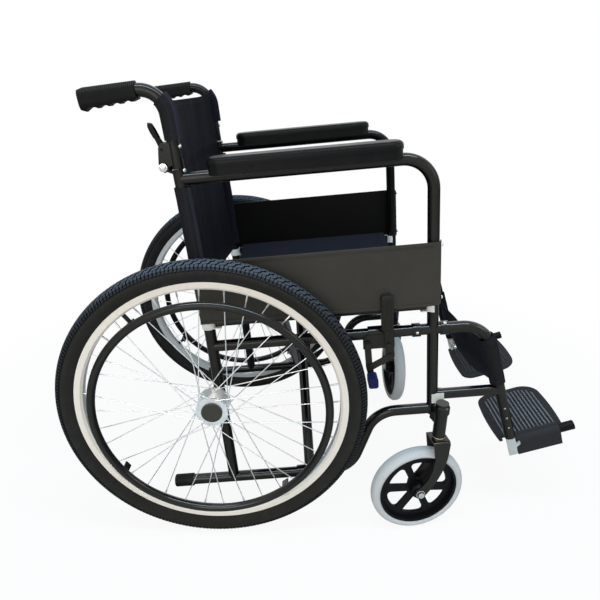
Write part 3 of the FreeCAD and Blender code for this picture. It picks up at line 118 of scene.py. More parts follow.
class ChairSizes(PropertyGroup):
    """Sizes of the pieces that dress the chair, on the level side frame."""
    lean: turn("Lean", 5.5, "How far the side frames lean back about the rear axle")
    side: size("Side frame", 0.2386, "From the chair's middle to a side frame")
    tube: size("Tube radius", 0.0111, "Radius of the frame tubes")
    wheel: size("Wheel radius", 0.304, "Radius of the rear tyre over its tread")
    cloth: size("Cloth", 0.0016, "Thickness of the upholstery cloth")
    cloth_gap: size("Cloth gap", 0.0005, "Room between a tube and the cloth round it")
    hem: size("Hem", 0.018, "Width of the folded hems")
    seat_height: size("Seat rail height", 0.466, "Middle of the seat rails")
    seat_front: size("Seat front", -0.4183, "Front edge of the seat cloth")
    seat_rear: size("Seat rear", -0.0306, "Rear edge of the seat cloth")
    seat_sag: size("Seat sag", 0.014, "How far the seat cloth hangs at its middle")
    post_y: size("Rear post", -0.0077, "Rear post, from the axle, below its bend")
    recline_from: size("Recline start", 0.440, "Height at which the rear post leans back")
    recline: turn("Recline", 1.36, "How far the back leans")
    base_height: size("Lower rail height", 0.0897, "Middle of the lower side rails")
    back_bottom: size("Back bottom", 0.473, "Lower edge of the back cloth")
    back_split: size("Back split", 0.7565, "Where the two back cloths meet")
    lower_foot: size("Lower sleeve bottom", 0.486, "Lower end of the lower sleeves")
    lower_sleeve: size("Lower sleeve top", 0.726, "Upper end of the lower sleeves")
    upper_sleeve: size("Upper sleeve bottom", 0.806, "Lower end of the upper sleeves")
    handle_bend: size("Handle bend", 0.044, "Radius of the bend below the handle")
    handle_height: size("Handle height", 0.889, "Middle of the handle at its bend")
    sleeve_turn: turn("Sleeve end", 38.0, "How far the upper sleeves follow the bend")
    back_top: size("Back top", 0.867, "Middle of the upper edge of the back cloth")
    back_overlap: size("Back overlap", 0.003, "How far each back cloth passes the split")
    back_layer: size("Back layer", 0.0012, "From the posts' line to each back cloth")
    back_rise: size("Back rise", 0.011, "How far the top edge rises at the sleeves")
    back_sag: size("Back sag", 0.016, "How far the back cloth bows rearwards")
    hanger_y: size("Hanger foot", -0.607, "Foot of the footrest hanger, from the axle")
    hanger_z: size("Hanger foot height", 0.142, "Height of the hanger's foot")
    hanger_angle: turn("Hanger angle", 13.0, "Slope of the hanger from upright")
    hanger_bend: size("Hanger bend", 0.060, "Radius of the bend at the hanger's top")
    rail_height: size("Upper rail height", 0.412, "Middle of the upper side rails")
    loop_near_low: size("Right loop bottom", 0.141, "Lower edge of the right loop")
    loop_near_top: size("Right loop top", 0.251, "Upper edge of the right loop")
    loop_far_low: size("Left loop bottom", 0.050, "Lower edge of the left loop")
    loop_far_top: size("Left loop top", 0.147, "Upper edge of the left loop")
    stay: size("Stay", 0.109, "Where a hanger's stay leaves its tube")
    stay_front: size("Stay front", 0.0015, "Front of the left loop's slot for the stay")
    calf_belly: size("Calf strap belly", 0.016, "How far the strap bellies rearwards")
    calf_sag: size("Calf strap sag", 0.034, "How far the strap hangs at its middle")
    tyre_half: size("Tyre half width", 0.021, "Half the width of a rear tyre")
    tyre_widest: size("Tyre widest", 0.284, "Radius at which the tyre is widest")
    tyre_bead: size("Tyre bead", 0.2573, "Radius of the tyre's bead in the rim")
    tyre_foot: size("Tyre foot", 0.0102, "Half the width of the tyre at its bead")
    tread_depth: size("Tread depth", 0.0024, "Height of the tread blocks")
    tread_pitches: count("Tread pitches", 126, "Repeats of the tread round a tyre")
    rim_inside: size("Rim inside", 0.2502, "Radius where the spokes meet the rim")
    spoke_circle: size("Spoke circle", 0.028, "Radius of the spoke holes in the hub")
    spoke_lacing: turn("Lacing", 60.0, "How far a spoke leads round from its hole")
    spoke_turn: turn("Spoke turn", 2.8, "Where the first spoke hole stands")
    spoke_stagger: size("Stagger", 0.0019, "From a flange's middle to a spoke's head")
    flange_outer: size("Outer flange", 0.0179, "From the rim's middle to the outer flange")
    flange_inner: size("Inner flange", 0.0216, "From the rim's middle to the inner flange")
    rim_offset: size("Nipple offset", 0.003, "From the rim's middle to a nipple")
    nipple: size("Nipple", 0.0017, "Radius of a spoke nipple")
    spokes: count("Spokes", 36, "Spokes in a rear wheel")
    hub_cap: size("Hub cap", 0.0192, "From the wheel's middle to its black cap")
    rib_line: size("Rib line", -0.0233, "From a hanger's foot to its plate's pale ribs")
    rib_end: size("Rib end", 0.203, "From the chair's middle to the ribs' outer ends")
    panel_front: size("Panel front", -0.4552, "Front of the side panels' wrap")
    castor_bolt: size("Castor bolt", 0.0234, "From a castor's middle to its bolt heads")
    fork_washer: size("Fork washer", 0.2256, "Height of the washers over the forks")
    rod_cap: size("Rod cap", 0.032, "Length of the black cap on a footplate's rod")
    camera_height: size("Camera height", 0.89338, "Height of the camera")
    camera_side: size("Camera distance", 1.16965, "From the chair's middle to the camera")
    camera_ahead: size("Camera place", 0.16165, "Camera ahead of the rear axle")
    camera_pitch: turn("Camera pitch", 22.269, "How far the camera looks down")
    camera_yaw: turn("Camera yaw", -0.462, "How far the camera looks off square")
    camera_roll: turn("Camera roll", 0.544, "How far the camera is tilted")
    camera_lens: FloatProperty(name="Lens", description="Focal length in millimetres",
                               default=31.668)


class ChairColours(PropertyGroup):
    """Colours of the chair's finishes."""
    paint: colour("Paint", (0.0036, 0.0035, 0.0034), "Gloss black frame paint")
    # Painted reflection: a brown painted on faces turned out from the chair, in place of the
    # ground's reflection. The brake lever's and hub caps' own tones are also made from it.
    reflection_brown: colour("Reflection brown", (0.027, 0.0248, 0.0200), "Brown reflection painted on outer faces")
    panel: colour("Panel", (0.048, 0.0430, 0.0355), "Side panels")
    pad: colour("Pad", (0.0070, 0.0068, 0.0066), "Arm pads")
    cloth: colour("Cloth", (0.0100, 0.0102, 0.0140), "Upholstery cloth")
    rubber: colour("Rubber", (0.0135, 0.0130, 0.0120), "Tyres and grips")
    tread: colour("Tread", (0.021, 0.022, 0.024), "Tread blocks")
    # Painted sky light for the tops of the tread.
    sky_lit_tread: colour("Sky-lit tread", (0.105, 0.125, 0.155), "Painted sky light on the tread's tops")
    # Painted shade: the dark of the tread's grooves and of the blocks' walls.
    groove_shade: colour("Groove", (0.0030, 0.0032, 0.0042), "Grooves of the tread")
    rim: colour("Rim", (0.89, 0.81, 0.71), "Rear wheel rims")
    castor: colour("Castor tyre", (0.57, 0.565, 0.55), "Castor tyres")
    plastic: colour("Plastic", (0.0042, 0.0042, 0.0046), "Moulded black plastic")
    plate: colour("Footplate", (0.024, 0.024, 0.026), "Footplates")
    pale_ribs: colour("Pale ribs", (0.24, 0.245, 0.265), "Tops of the footplates' ribs")
    white: colour("White plastic", (0.72, 0.71, 0.66), "Clips and cradles")
    zinc: colour("Zinc", (0.62, 0.62, 0.60), "Plated steel")
    brass: colour("Yellow zinc", (0.66, 0.58, 0.36), "Yellow plated washers")
    shoe: colour("Brake shoe", (0.010, 0.012, 0.060), "Brake shoes")
    floor: colour("Floor", (0.80, 0.79, 0.77), "Studio floor")


def sizes():
    """The sizes set on the scene."""
    return bpy.context.scene.chair_sizes


def colours():
    """The colours set on the scene."""
    return bpy.context.scene.chair_colours


# ------------------------------------------------------------------ shader arithmetic
class Wire:
    """One output socket, with arithmetic that adds Math nodes to its graph."""

    def __init__(self, graph, socket):
        self.graph = graph
        self.socket = socket

    def math(self, operation, *others):
        return self.graph.math(operation, self, *others)

    def __add__(self, other):
        return self.math("ADD", other)

    def __sub__(self, other):
        return self.math("SUBTRACT", other)

    def __mul__(self, other):
        return self.math("MULTIPLY", other)

    def __truediv__(self, other):
        return self.math("DIVIDE", other)

    def __rsub__(self, other):
        return self.graph.math("SUBTRACT", other, self)

    def __rtruediv__(self, other):
        return self.graph.math("DIVIDE", other, self)

    def __neg__(self):
        return self * -1.0

    __radd__ = __add__
    __rmul__ = __mul__

    def over(self, limit):
        return self.math("GREATER_THAN", limit)

    def under(self, limit):
        return self.math("LESS_THAN", limit)

    def wave(self, period):
        """A sine of this value with a period, from 0 to 1."""
        return (self * (2 * math.pi / period)).math("SINE") * 0.5 + 0.5

    def between(self, low, high):
        """0 below low, 1 above high and smooth between."""
        return self.graph.wire("MapRange", {"interpolation_type": "SMOOTHSTEP"},
                               {"Value": self, "From Min": low, "From Max": high},
                               "Result")


class Graph:
    """The nodes of one material or world."""

    def __init__(self, tree):
        self.tree = tree

    def fill(self, socket, value):
        """Link a wire to a socket, or set the socket's value."""
        if isinstance(value, Wire):
            self.tree.links.new(value.socket, socket)
        else:
            socket.default_value = value

    def node(self, kind, settings=None, sockets=None):
        """Add a node: its settings or a ramp's stops first, then its sockets."""
        made = self.tree.nodes.new("ShaderNode" + kind)
        for key, value in (settings or {}).items():
            if key == "stops":
                self.stops(made.color_ramp.elements, value)
            else:
                setattr(made, key, value)
        for key, value in (sockets or {}).items():
            self.fill(made.inputs[key], value)
        return made

    @staticmethod
    def stops(bands, stops):
        """Set a ramp's stops, whose first and last are there already."""
        for number, (place, tone) in enumerate(stops):
            if number == 0:
                band = bands[0]
            elif number == len(stops) - 1:
                band = bands[-1]
            else:
                band = bands.new(place)
            band.position, band.color = place, (*tone, 1)

    def wire(self, kind, settings=None, sockets=None, out=0):
        """One output of a new node."""
        return Wire(self, self.node(kind, settings, sockets).outputs[out])

    def math(self, operation, *values):
        return self.wire("Math", {"operation": operation}, dict(enumerate(values)))

    def split(self, vector):
        """The three values of a vector."""
        return [Wire(self, out) for out in self.node("SeparateXYZ", None,
                                                     {0: vector}).outputs]

    def place(self, kind="Object"):
        return self.wire("TexCoord", out=kind)


class Finish(Graph):
    """A Principled material that is built up one layer at a time."""

    def __init__(self, name, base, roughness, metallic=0.0, coat=0.0, shine=0.1):
        self.material = bpy.data.materials.new(name)
        self.material.use_nodes = True
        super().__init__(self.material.node_tree)
        self.shader = self.tree.nodes["Principled BSDF"]
        self.base = (*base, 1)
        self.bump = None
        for key, value in (("Base Color", self.base), ("Roughness", roughness),
                           ("Metallic", metallic), ("Coat Weight", coat),
                           ("Coat Roughness", 0.12), ("Specular IOR Level", shine)):
            self.set(key, value)

    def set(self, key, value):
        """Set or link one input of the shader."""
        self.fill(self.shader.inputs[key], value)

    def axes(self, kind="Object"):
        return self.split(self.place(kind))

    def normal(self):
        """The surface's own direction, as three values."""
        return self.split(self.wire("NewGeometry", out="Normal"))

    def stretched(self, scale):
        return self.wire("Mapping", None, {"Vector": self.place(), "Scale": scale})

    def noise(self, scale, detail=3.0, rough=0.5, where=None):
        return self.wire("TexNoise", None,
                         {"Vector": where or self.place(), "Scale": scale,
                          "Detail": detail, "Roughness": rough}, "Fac")

    def tint(self, share, colour_to):
        """Mix the base colour towards another where share is 1."""
        self.base = self.wire("Mix", {"data_type": "RGBA"},
                              {"Factor": share, "A": self.base, "B": (*colour_to, 1)},
                              "Result")
        self.set("Base Color", self.base)

    def gloss(self, share, low, high):
        """Roughness from low where share is 0 to high where it is 1."""
        self.set("Roughness", share * (high - low) + low)

    def relief(self, height, depth, strength=1.0):
        """Add one layer of bump with a depth in metres."""
        sockets = {"Strength": strength, "Distance": depth, "Height": height}
        if self.bump is not None:
            sockets["Normal"] = self.bump
        self.bump = self.wire("Bump", None, sockets, "Normal")
        self.set("Normal", self.bump)


def shade(rgb, factor):
    """A colour made darker or lighter."""
    return tuple(min(1.0, channel * factor) for channel in rgb)


def outward(finish):
    """1 where a surface faces out from the chair's middle, -1 where it faces in."""
    across, _, _ = finish.axes()
    facing, _, _ = finish.normal()
    return (across - AXLE.x).math("SIGN") * facing


def paint_finish():
    """Stoved gloss paint: a little orange peel and dust, with a brown painted reflection on
    faces turned out from the chair.
    """
    base = colours().paint
    finish = Finish("gloss_paint", base, 0.2, shine=0.12)
    _, _, up = finish.normal()
    finish.set("Coat Weight", up.between(0.35, 0.85) * 0.8)
    peel = finish.noise(420, 2)
    dust = finish.noise(26, 5, 0.65)
    # painted reflection: brown on faces turned out from the chair
    finish.tint(outward(finish).between(0.7, 1.0) * 0.9, colours().reflection_brown)
    finish.tint(dust.between(0.52, 0.8) * 0.5, shade(base, 2.6))
    finish.gloss(dust, 0.12, 0.26)
    finish.relief(peel, 0.0001, 0.4)
    return finish.material


def panel_finish():
    """Powder coated sheet, nearly matte, with painted shade on its inner faces."""
    base = colours().panel
    finish = Finish("powder_coat", base, 0.62)
    fine = finish.noise(900, 2)
    broad = finish.noise(9, 4, 0.6)
    finish.tint(broad.between(0.35, 0.75) * 0.5, shade(base, 0.72))
    # painted shade: faces turned in towards the chair's middle are made nearly black
    finish.tint(outward(finish).under(-0.3), shade(base, 0.05))
    finish.gloss(broad, 0.52, 0.7)
    finish.relief(fine, 0.0002, 0.5)
    return finish.material


def pad_finish():
    """Skinned foam with a fine leather grain."""
    base = colours().pad
    finish = Finish("skinned_foam", base, 0.34, shine=0.08)
    cells = finish.wire("TexVoronoi", None, {"Vector": finish.place(), "Scale": 620},
                        "Distance")
    worn = finish.noise(14, 4, 0.6)
    finish.tint(worn.between(0.5, 0.8) * 0.5, shade(base, 2.2))
    finish.gloss(worn, 0.2, 0.42)
    finish.relief(cells, 0.0003, 0.4)
    return finish.material


def cloth_finish():
    """Woven nylon with painted light. Its map holds the distances to the cloth's edges, for hems
    and stitches.
    """
    base = colours().cloth
    finish = Finish("woven_nylon", base, 0.7, shine=0.02)
    across, along, _ = finish.axes("UV")
    weave = across.wave(0.0016) * along.wave(0.0016)
    slub = finish.noise(1, 4, 0.6, finish.stretched((160, 160, 26)))
    crease = finish.noise(1, 3, 0.55, finish.stretched((24, 24, 7)))
    hem = sizes().hem
    stitches = None
    for edge, other in ((across, along), (along, across)):
        line = (edge - hem / 2).math("ABSOLUTE").under(0.0006) * other.wave(0.0042).over(0.35)
        stitches = line if stitches is None else stitches.math("MAXIMUM", line)
    fold = across.math("MINIMUM", along).between(hem, hem + 0.0012)
    # painted reflection: brown on faces turned out from the chair
    finish.tint(outward(finish).between(0.3, 1.0) * 0.45, colours().reflection_brown)
    _, _, up = finish.normal()
    # painted sky light: cloth facing up is made lighter
    finish.tint(up.between(0.5, 1.0) * 0.6, shade(base, 2.4))
    finish.tint(slub.between(0.42, 0.78) * 0.6, shade(base, 1.9))
    finish.tint(weave * 0.25, shade(base, 0.5))
    # painted highlight: a lighter band within 3.2 mm of the cloth's side edges, such as the
    # sleeves' seams
    finish.tint(across.under(0.0032) * 0.5, shade(base, 4.5))
    finish.tint(stitches, shade(base, 2.6))
    finish.gloss(slub, 0.6, 0.8)
    finish.relief(weave, 0.0002, 0.6)
    finish.relief(crease, 0.005, 0.35)
    finish.relief(-fold, 0.0012, 0.6)
    return finish.material


def rubber_finish():
    """Moulded rubber with dust."""
    base = colours().rubber
    finish = Finish("moulded_rubber", base, 0.55)
    dust = finish.noise(40, 5, 0.7)
    finish.tint(dust.between(0.45, 0.75) * 0.7, shade(base, 2.2))
    finish.gloss(dust, 0.42, 0.68)
    finish.relief(finish.noise(700, 2), 0.0003, 0.4)
    return finish


def round_axle(finish):
    """Distance from the rear axles, and how far a surface faces away from them."""
    _, along, up = finish.axes()
    _, face_along, face_up = finish.normal()
    along, up = along - AXLE.y, up - AXLE.z
    reach = (along * along + up * up).math("SQRT")
    return reach, (along * face_along + up * face_up) / reach


def tyre_finish():
    """Tyre rubber, with painted shade in the grooves of the tread and a brown painted reflection
    on its sides.
    """
    finish = rubber_finish()
    finish.material.name = "tyre_rubber"
    reach, _ = round_axle(finish)
    # painted reflection: brown on the outer side
    finish.tint(outward(finish).between(0.7, 1.0) * 0.45, colours().reflection_brown)
    # painted shade: dark near the tread surface, where it shows in the grooves between the
    # blocks
    finish.tint(reach.between(sizes().wheel - 0.013, sizes().wheel - 0.009), colours().groove_shade)
    return finish.material


def tread_finish():
    """Tread blocks: rubber tops with uneven scuffing, painted sky light on the tops and painted
    shade on the walls.
    """
    # the dark base is painted shade, left on the blocks' walls
    finish = Finish("tread_rubber", colours().groove_shade, 0.6)
    scuff = finish.noise(120, 4, 0.7)
    _, _, up = finish.normal()
    _, facing = round_axle(finish)
    top = facing.between(0.2, 0.45)
    finish.tint(top * (scuff * 0.5 + 0.7).math("MINIMUM", 1.0), colours().tread)
    # painted sky light: bluish pale on tops that face up
    finish.tint(top * up.between(0.35, 1.0) * 0.75, colours().sky_lit_tread)
    finish.gloss(scuff, 0.45, 0.7)
    finish.relief(scuff, 0.0004, 0.5)
    return finish.material


def grip_finish():
    """Soft grip, finely ribbed over its top, with a painted highlight on the ribs there."""
    base = colours().rubber
    finish = Finish("grip_rubber", shade(base, 0.5), 0.5, shine=0.06)
    _, along, _ = finish.axes()
    _, _, up = finish.normal()
    rings_and_highlight = along.wave(0.0034) * up.between(0.25, 0.6)
    finish.gloss(finish.noise(60, 4), 0.38, 0.6)
    # painted highlight: the ribs over the top are painted lighter
    finish.tint(rings_and_highlight * 0.8, shade(base, 2.8))
    finish.relief(rings_and_highlight, 0.0009, 0.9)
    return finish.material


def rim_finish():
    """Rolled rim: cream lacquer with faint rolling lines."""
    base = colours().rim
    finish = Finish("rim_lacquer", base, 0.34, metallic=0.05, coat=0.2)
    streak = finish.noise(1, 3, 0.6, finish.stretched((600, 12, 12)))
    grime = finish.noise(30, 5, 0.7)
    finish.tint(outward(finish).under(0.3), shade(colours().zinc, 0.8))
    finish.tint(grime.between(0.55, 0.8) * 0.35, shade(base, 0.75))
    finish.gloss(streak, 0.26, 0.42)
    finish.relief(streak, 0.0001, 0.4)
    return finish.material


def steel_finish(name="bright_steel", base=None, rough=0.24, cap=None, cover=None):
    """Bright plate, a little uneven, with a black plastic cap wherever cap is 1."""
    base = tuple(base or colours().zinc)
    finish = Finish(name, base, rough, metallic=0.9)
    cloud = finish.noise(70, 4, 0.6)
    finish.tint(cloud.between(0.45, 0.75) * 0.5, shade(base, 0.66))
    if cap:
        share = cap(finish)
        finish.tint(share, cover)
        finish.set("Metallic", 0.9 * (1 - share))
    finish.gloss(cloud, rough if cap else rough - 0.06, rough + 0.16)
    finish.relief(finish.noise(900, 2), 0.00006, 0.5)
    return finish.material


def hub_cap(finish):
    """1 on the caps over the ends of the rear axles."""
    across, _, _ = finish.axes()
    reach = RIM["left"].x - AXLE.x + sizes().hub_cap
    return (across - AXLE.x).math("ABSOLUTE").over(reach)


def rod_cap(finish):
    """1 on the caps at the front ends of the footplates' rods."""
    slope = sizes().lean + sizes().hanger_angle
    _, ahead, up = finish.axes()
    along = up * math.sin(slope) - ahead * math.cos(slope)
    tip = max(v.co.z * math.sin(slope) - v.co.y * math.cos(slope)
              for v in frame["nodes"]["foot_tube_left"].data.vertices)
    return along.over(tip - sizes().rod_cap)


def castor_finish():
    """Pale solid tyre, a little soiled round its tread."""
    base = colours().castor
    finish = Finish("castor_rubber", base, 0.45)
    soil = finish.noise(34, 5, 0.7)
    finish.tint(soil.between(0.55, 0.85) * 0.5, shade(base, 0.62))
    finish.gloss(soil, 0.36, 0.56)
    finish.relief(finish.noise(500, 2), 0.0002, 0.3)
    return finish.material


def plastic_finish(name, base, low=0.3, high=0.5):
    """Moulded plastic with a fine spark texture."""
    finish = Finish(name, tuple(base), low)
    cloud = finish.noise(40, 4, 0.6)
    finish.tint(cloud.between(0.5, 0.8) * 0.5, shade(base, 1.5 if sum(base) < 1 else 0.84))
    finish.gloss(cloud, low, high)
    finish.relief(finish.noise(1500, 2), 0.0001, 0.4)
    return finish.material


def plate_finish():
    """Footplates with pale ribs, and painted shade that keeps the left plate's ribs mostly dark.
    """
    base = colours().plate
    finish = Finish("plate_plastic", base, 0.5)
    cloud = finish.noise(40, 4, 0.6)
    across, ahead, up = finish.axes()
    foot = hanger_matrix()
    square = foot.to_3x3() @ Vector((0, 0, 1))
    height = ahead * square.y + up * square.z - square.dot(foot.translation)
    aside = across - AXLE.x
    ribs = height.over(sizes().rib_line) * aside.math("ABSOLUTE").under(sizes().rib_end)
    # painted shade: the left plate's ribs keep only 15% of the pale tint
    ribs_left_shaded = ribs * (aside.under(0) * 0.85 + 0.15)
    finish.tint(ribs_left_shaded * (cloud * 0.6 + 0.4), colours().pale_ribs)
    finish.gloss(cloud, 0.42, 0.6)
    finish.relief(finish.noise(1500, 2), 0.0001, 0.4)
    return finish.material


# ------------------------------------------------------------------ modelling helpers
@contextmanager
def editing(everything=True):
    """Edit mode, with everything selected or only what is selected already."""
    bpy.ops.object.mode_set(mode="EDIT")
    if everything:
        bpy.ops.mesh.select_all(action="SELECT")
    yield
    bpy.ops.object.mode_set(mode="OBJECT")


def weld(distance=0.00002):
    """Merge the points that meet and turn all faces outwards."""
    bpy.ops.mesh.select_all(action="SELECT")
    bpy.ops.mesh.remove_doubles(threshold=distance)
    bpy.ops.mesh.normals_make_consistent(inside=False)


def clear():
    """Object mode, with nothing selected."""
    active = bpy.context.view_layer.objects.active
    if active is not None and active.mode != "OBJECT":
        bpy.ops.object.mode_set(mode="OBJECT")
    bpy.ops.object.select_all(action="DESELECT")


def named(name):
    """Name the active object and its mesh."""
    obj = bpy.context.object
    obj.name = name
    obj.data.name = name
    return obj


def chosen(obj):
    """Make an object the only one selected, and active."""
    clear()
    obj.select_set(True)
    bpy.context.view_layer.objects.active = obj
    return obj


def level_matrix():
    """From the level side frame (y from the axle, z from the ground) to the row's frame."""
    wheel = Vector((0, 0, sizes().wheel))
    return (Matrix.Translation(AXLE) @ Matrix.Rotation(-sizes().lean, 4, "X")
            @ Matrix.Translation(-wheel))


def hanger_matrix():
    """From a hanger's foot, with z up its slope, to the row's frame."""
    s = sizes()
    return (level_matrix() @ Matrix.Translation((0, s.hanger_y, s.hanger_z))
            @ Matrix.Rotation(-s.hanger_angle, 4, "X"))


def settled(obj, matrix=None):
    """Put an object's place into its mesh."""
    obj.data.transform((matrix or Matrix()) @ obj.matrix_world)
    obj.matrix_world = Matrix.Identity(4)
    return obj


def finished(obj, material, body=None, smooth=35):
    """Shade, paint and hang a piece on its body."""
    chosen(obj)
    bpy.ops.object.shade_smooth_by_angle(angle=math.radians(smooth))
    obj.data.materials.clear()
    obj.data.materials.append(material)
    if body:
        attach(obj, body)
    return obj


def twin(obj, name):
    """A copy on the right of a piece on the left, with its own mesh."""
    copy = obj.copy()
    copy.data = obj.data.copy()
    copy.name = name
    copy.data.name = name
    bpy.context.collection.objects.link(copy)
    copy.data.transform(MIRROR)
    copy.data.flip_normals()
    return copy


def joined(parts, name):
    """Several objects as one."""
    clear()
    for part in parts:
        part.select_set(True)
    bpy.context.view_layer.objects.active = parts[0]
    bpy.ops.object.join()
    return named(name)


def applied(obj, kind, **settings):
    """Add a modifier and apply it at once."""
    chosen(obj)
    modifier = obj.modifiers.new(kind.title(), kind)
    for key, value in settings.items():
        setattr(modifier, key, value)
    bpy.ops.object.modifier_apply(modifier=modifier.name)
    return obj


def turned_rod(name, start, end, radius, sides=24, bevel=0.0):
    """A round rod or disc between two points, with bevelled rims."""
    clear()
    axis = Vector(end) - Vector(start)
    bpy.ops.mesh.primitive_cylinder_add(
        vertices=sides, radius=radius, depth=axis.length,
        location=(Vector(start) + Vector(end)) / 2,
        rotation=axis.to_track_quat("Z", "Y").to_euler())
    obj = named(name)
    if bevel:
        applied(obj, "BEVEL", width=bevel, segments=3, limit_method="ANGLE")
    return obj


def button_head(name, base, direction, radius, height):
    """A domed screw head with a cross recess, standing on a point."""
    clear()
    base, direction = Vector(base), Vector(direction).normalized()
    bpy.ops.mesh.primitive_uv_sphere_add(segments=24, ring_count=12, radius=radius,
                                         location=(0, 0, 0))
    obj = named(name)
    with editing():
        bpy.ops.mesh.bisect(plane_co=(0, 0, 0), plane_no=(0, 0, 1), clear_inner=True,
                            use_fill=True)
        bpy.ops.mesh.select_all(action="SELECT")
        bpy.ops.transform.resize(value=(1, 1, height / radius))
    clear()
    clear()
    cutters = []
    for suffix, across, along in (("", 1.1, 0.22), ("_across", 0.22, 1.1)):
        bpy.ops.mesh.primitive_cube_add(size=1, location=(0, 0, height))
        cutters.append(named(name + "_recess" + suffix))
        cutters[-1].scale = (radius * across, radius * along, height * 0.7)
    for cutter in cutters:
        applied(obj, "BOOLEAN", operation="DIFFERENCE", object=cutter, solver="EXACT")
    for cutter in cutters:
        bpy.data.objects.remove(cutter)
    turn_to = direction.to_track_quat("Z", "Y").to_matrix().to_4x4()
    return settled(obj, Matrix.Translation(base) @ turn_to)


def bolt_head(name, base, direction, radius, height):
    """A hexagon head on a washer, standing on a point."""
    base, direction = Vector(base), Vector(direction).normalized()
    washer = turned_rod(name, base, base + direction * height * 0.25, radius * 1.35, 28,
                        height * 0.06)
    head = turned_rod(name + "_hexagon", base + direction * height * 0.25,
                      base + direction * height, radius, 6, height * 0.12)
    return settled(joined([washer, head], name))


def cloth_grid(name, across, along, place):
    """A grid whose points are moved to place(u, v), with u and v from 0 to 1."""
    clear()
    bpy.ops.mesh.primitive_grid_add(x_subdivisions=across, y_subdivisions=along, size=1)
    obj = named(name)
    for vertex in obj.data.vertices:
        vertex.co = place(vertex.co.x + 0.5, vertex.co.y + 0.5)
    return obj


def cloth_map(obj, width, length):
    """Turn the map into the distances, in metres, to the nearest edges of the cloth."""
    for corner in obj.data.uv_layers.active.data:
        u, v = corner.uv
        corner.uv = (min(u, 1 - u) * width, min(v, 1 - v) * length)


def tailored(obj, matrix, body=None, offset=0.0):
    """Give a cloth its thickness, its place, its finish and its body."""
    applied(obj, "SOLIDIFY", thickness=sizes().cloth, offset=offset)
    settled(obj, matrix)
    return finished(obj, bpy.data.materials["woven_nylon"], body, smooth=60)


def wrapped(name, path, low, high, seam, bulge, mirror=False):
    """A tube of cloth round a post, sewn along one side and creased a little.

    path gives the post's middle and its lean at a distance along it.
    """
    s = sizes()
    radius = s.tube + s.cloth_gap + 0.0004
    side = -1 if mirror else 1

    def place(u, v):
        angle = seam + u * 2 * math.pi
        y, z, lean = path(low + v * (high - low))
        crease = abs(ripple(math.cos(angle) * 1.3, z * 30, math.sin(angle) + 5, 0.0009))
        reach = radius + crease + bulge * max(0.0, math.cos(u * 2 * math.pi)) ** 3
        out, back = reach * math.cos(angle), reach * math.sin(angle)
        return side * (s.side + out), y + back * math.cos(lean), z - back * math.sin(lean)

    obj = cloth_grid(name, 48, 28, place)
    cloth_map(obj, 2 * math.pi * radius, high - low)
    chosen(obj)
    with editing():
        weld()
    return obj


def post_y(z):
    """Middle of the rear post at a height."""
    s = sizes()
    return s.post_y + max(0.0, z - s.recline_from) * math.tan(s.recline)


def folded_share(edge):
    """How wide a cloth between two sleeves is once folded, as a share of its open width."""
    s = sizes()
    width, rise = 2 * s.side, s.seat_height - s.base_height
    slope = math.atan2(rise, width) + math.radians(joint("fold")["range_deg"][1])
    travel = width - math.hypot(width, rise) * math.cos(slope)
    return 1 - travel / (2 * edge)


def folds_up(cloth, edge):
    """Give a cloth its own mesh; the fold about its right edge is worked out and passed on, but
    not applied.
    """
    anchor = level_matrix() @ Vector((-edge, 0, 0))
    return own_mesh(cloth, "fold", axis=(1, 0, 0), anchor=anchor, keep=folded_share(edge))


def ripple(a, b, seed, height):
    """Small smooth unevenness, the same at each run."""
    return noise.noise(Vector((a, b, seed))) * height


def smooth_step(value):
    """0 to 1, smooth at both ends."""
    value = max(0.0, min(1.0, value))
    return value * value * (3 - 2 * value)


# ------------------------------------------------------------------ operators
class CHAIR_OT_finishes(Operator):
    """Give every machined and moulded part its finish"""
    bl_idname = "chair.finishes"
    bl_label = "Finishes"

    def execute(self, context):
        c = colours()
        cloth_finish()
        paint, rubber = paint_finish(), rubber_finish().material
        plastic = plastic_finish("black_plastic", c.plastic, 0.28, 0.5)
        steel = steel_finish()
        painted = ("arm_tube", "back_frame", "base_tube", "hanger", "back_tube", "brace_a",
                   "brace_b", "handrim", "castor_fork", "brake_bracket", "brake_link",
                   "brake_arm")
        finishes = {
            **dict.fromkeys(painted, paint), "castor_wheel": plastic,
            "brake_lever": plastic_finish("lever_plastic", shade(c.reflection_brown, 0.8), 0.35, 0.5),
            "latch": plastic, "footplate": plate_finish(),
            "tip": rubber, "grip": grip_finish(), "rim": rim_finish(),
            "spokes": steel_finish("spoke_steel", (0.80, 0.80, 0.78), 0.3),
            "axle": steel_finish("axle_steel", c.zinc, 0.26, hub_cap, shade(c.reflection_brown, 1.9)),
            "foot_tube": steel_finish("foot_steel", (0.66, 0.65, 0.62), 0.3, rod_cap,
                                      c.plastic),
            "castor_tyre": castor_finish(), "arm_pad": pad_finish(),
            "side_panel": panel_finish(),
            "white_clips": plastic_finish("white_plastic", c.white, 0.4, 0.55),
            "brake_shoe": plastic_finish("shoe_plastic", c.shoe, 0.35, 0.5),
        }
        for name, obj in frame["nodes"].items():
            key = name.rsplit("_", 1)[0] if name.endswith(("_right", "_left")) else name
            if key in finishes:
                obj.data.materials.clear()
                obj.data.materials.append(finishes[key])
        return {"FINISHED"}


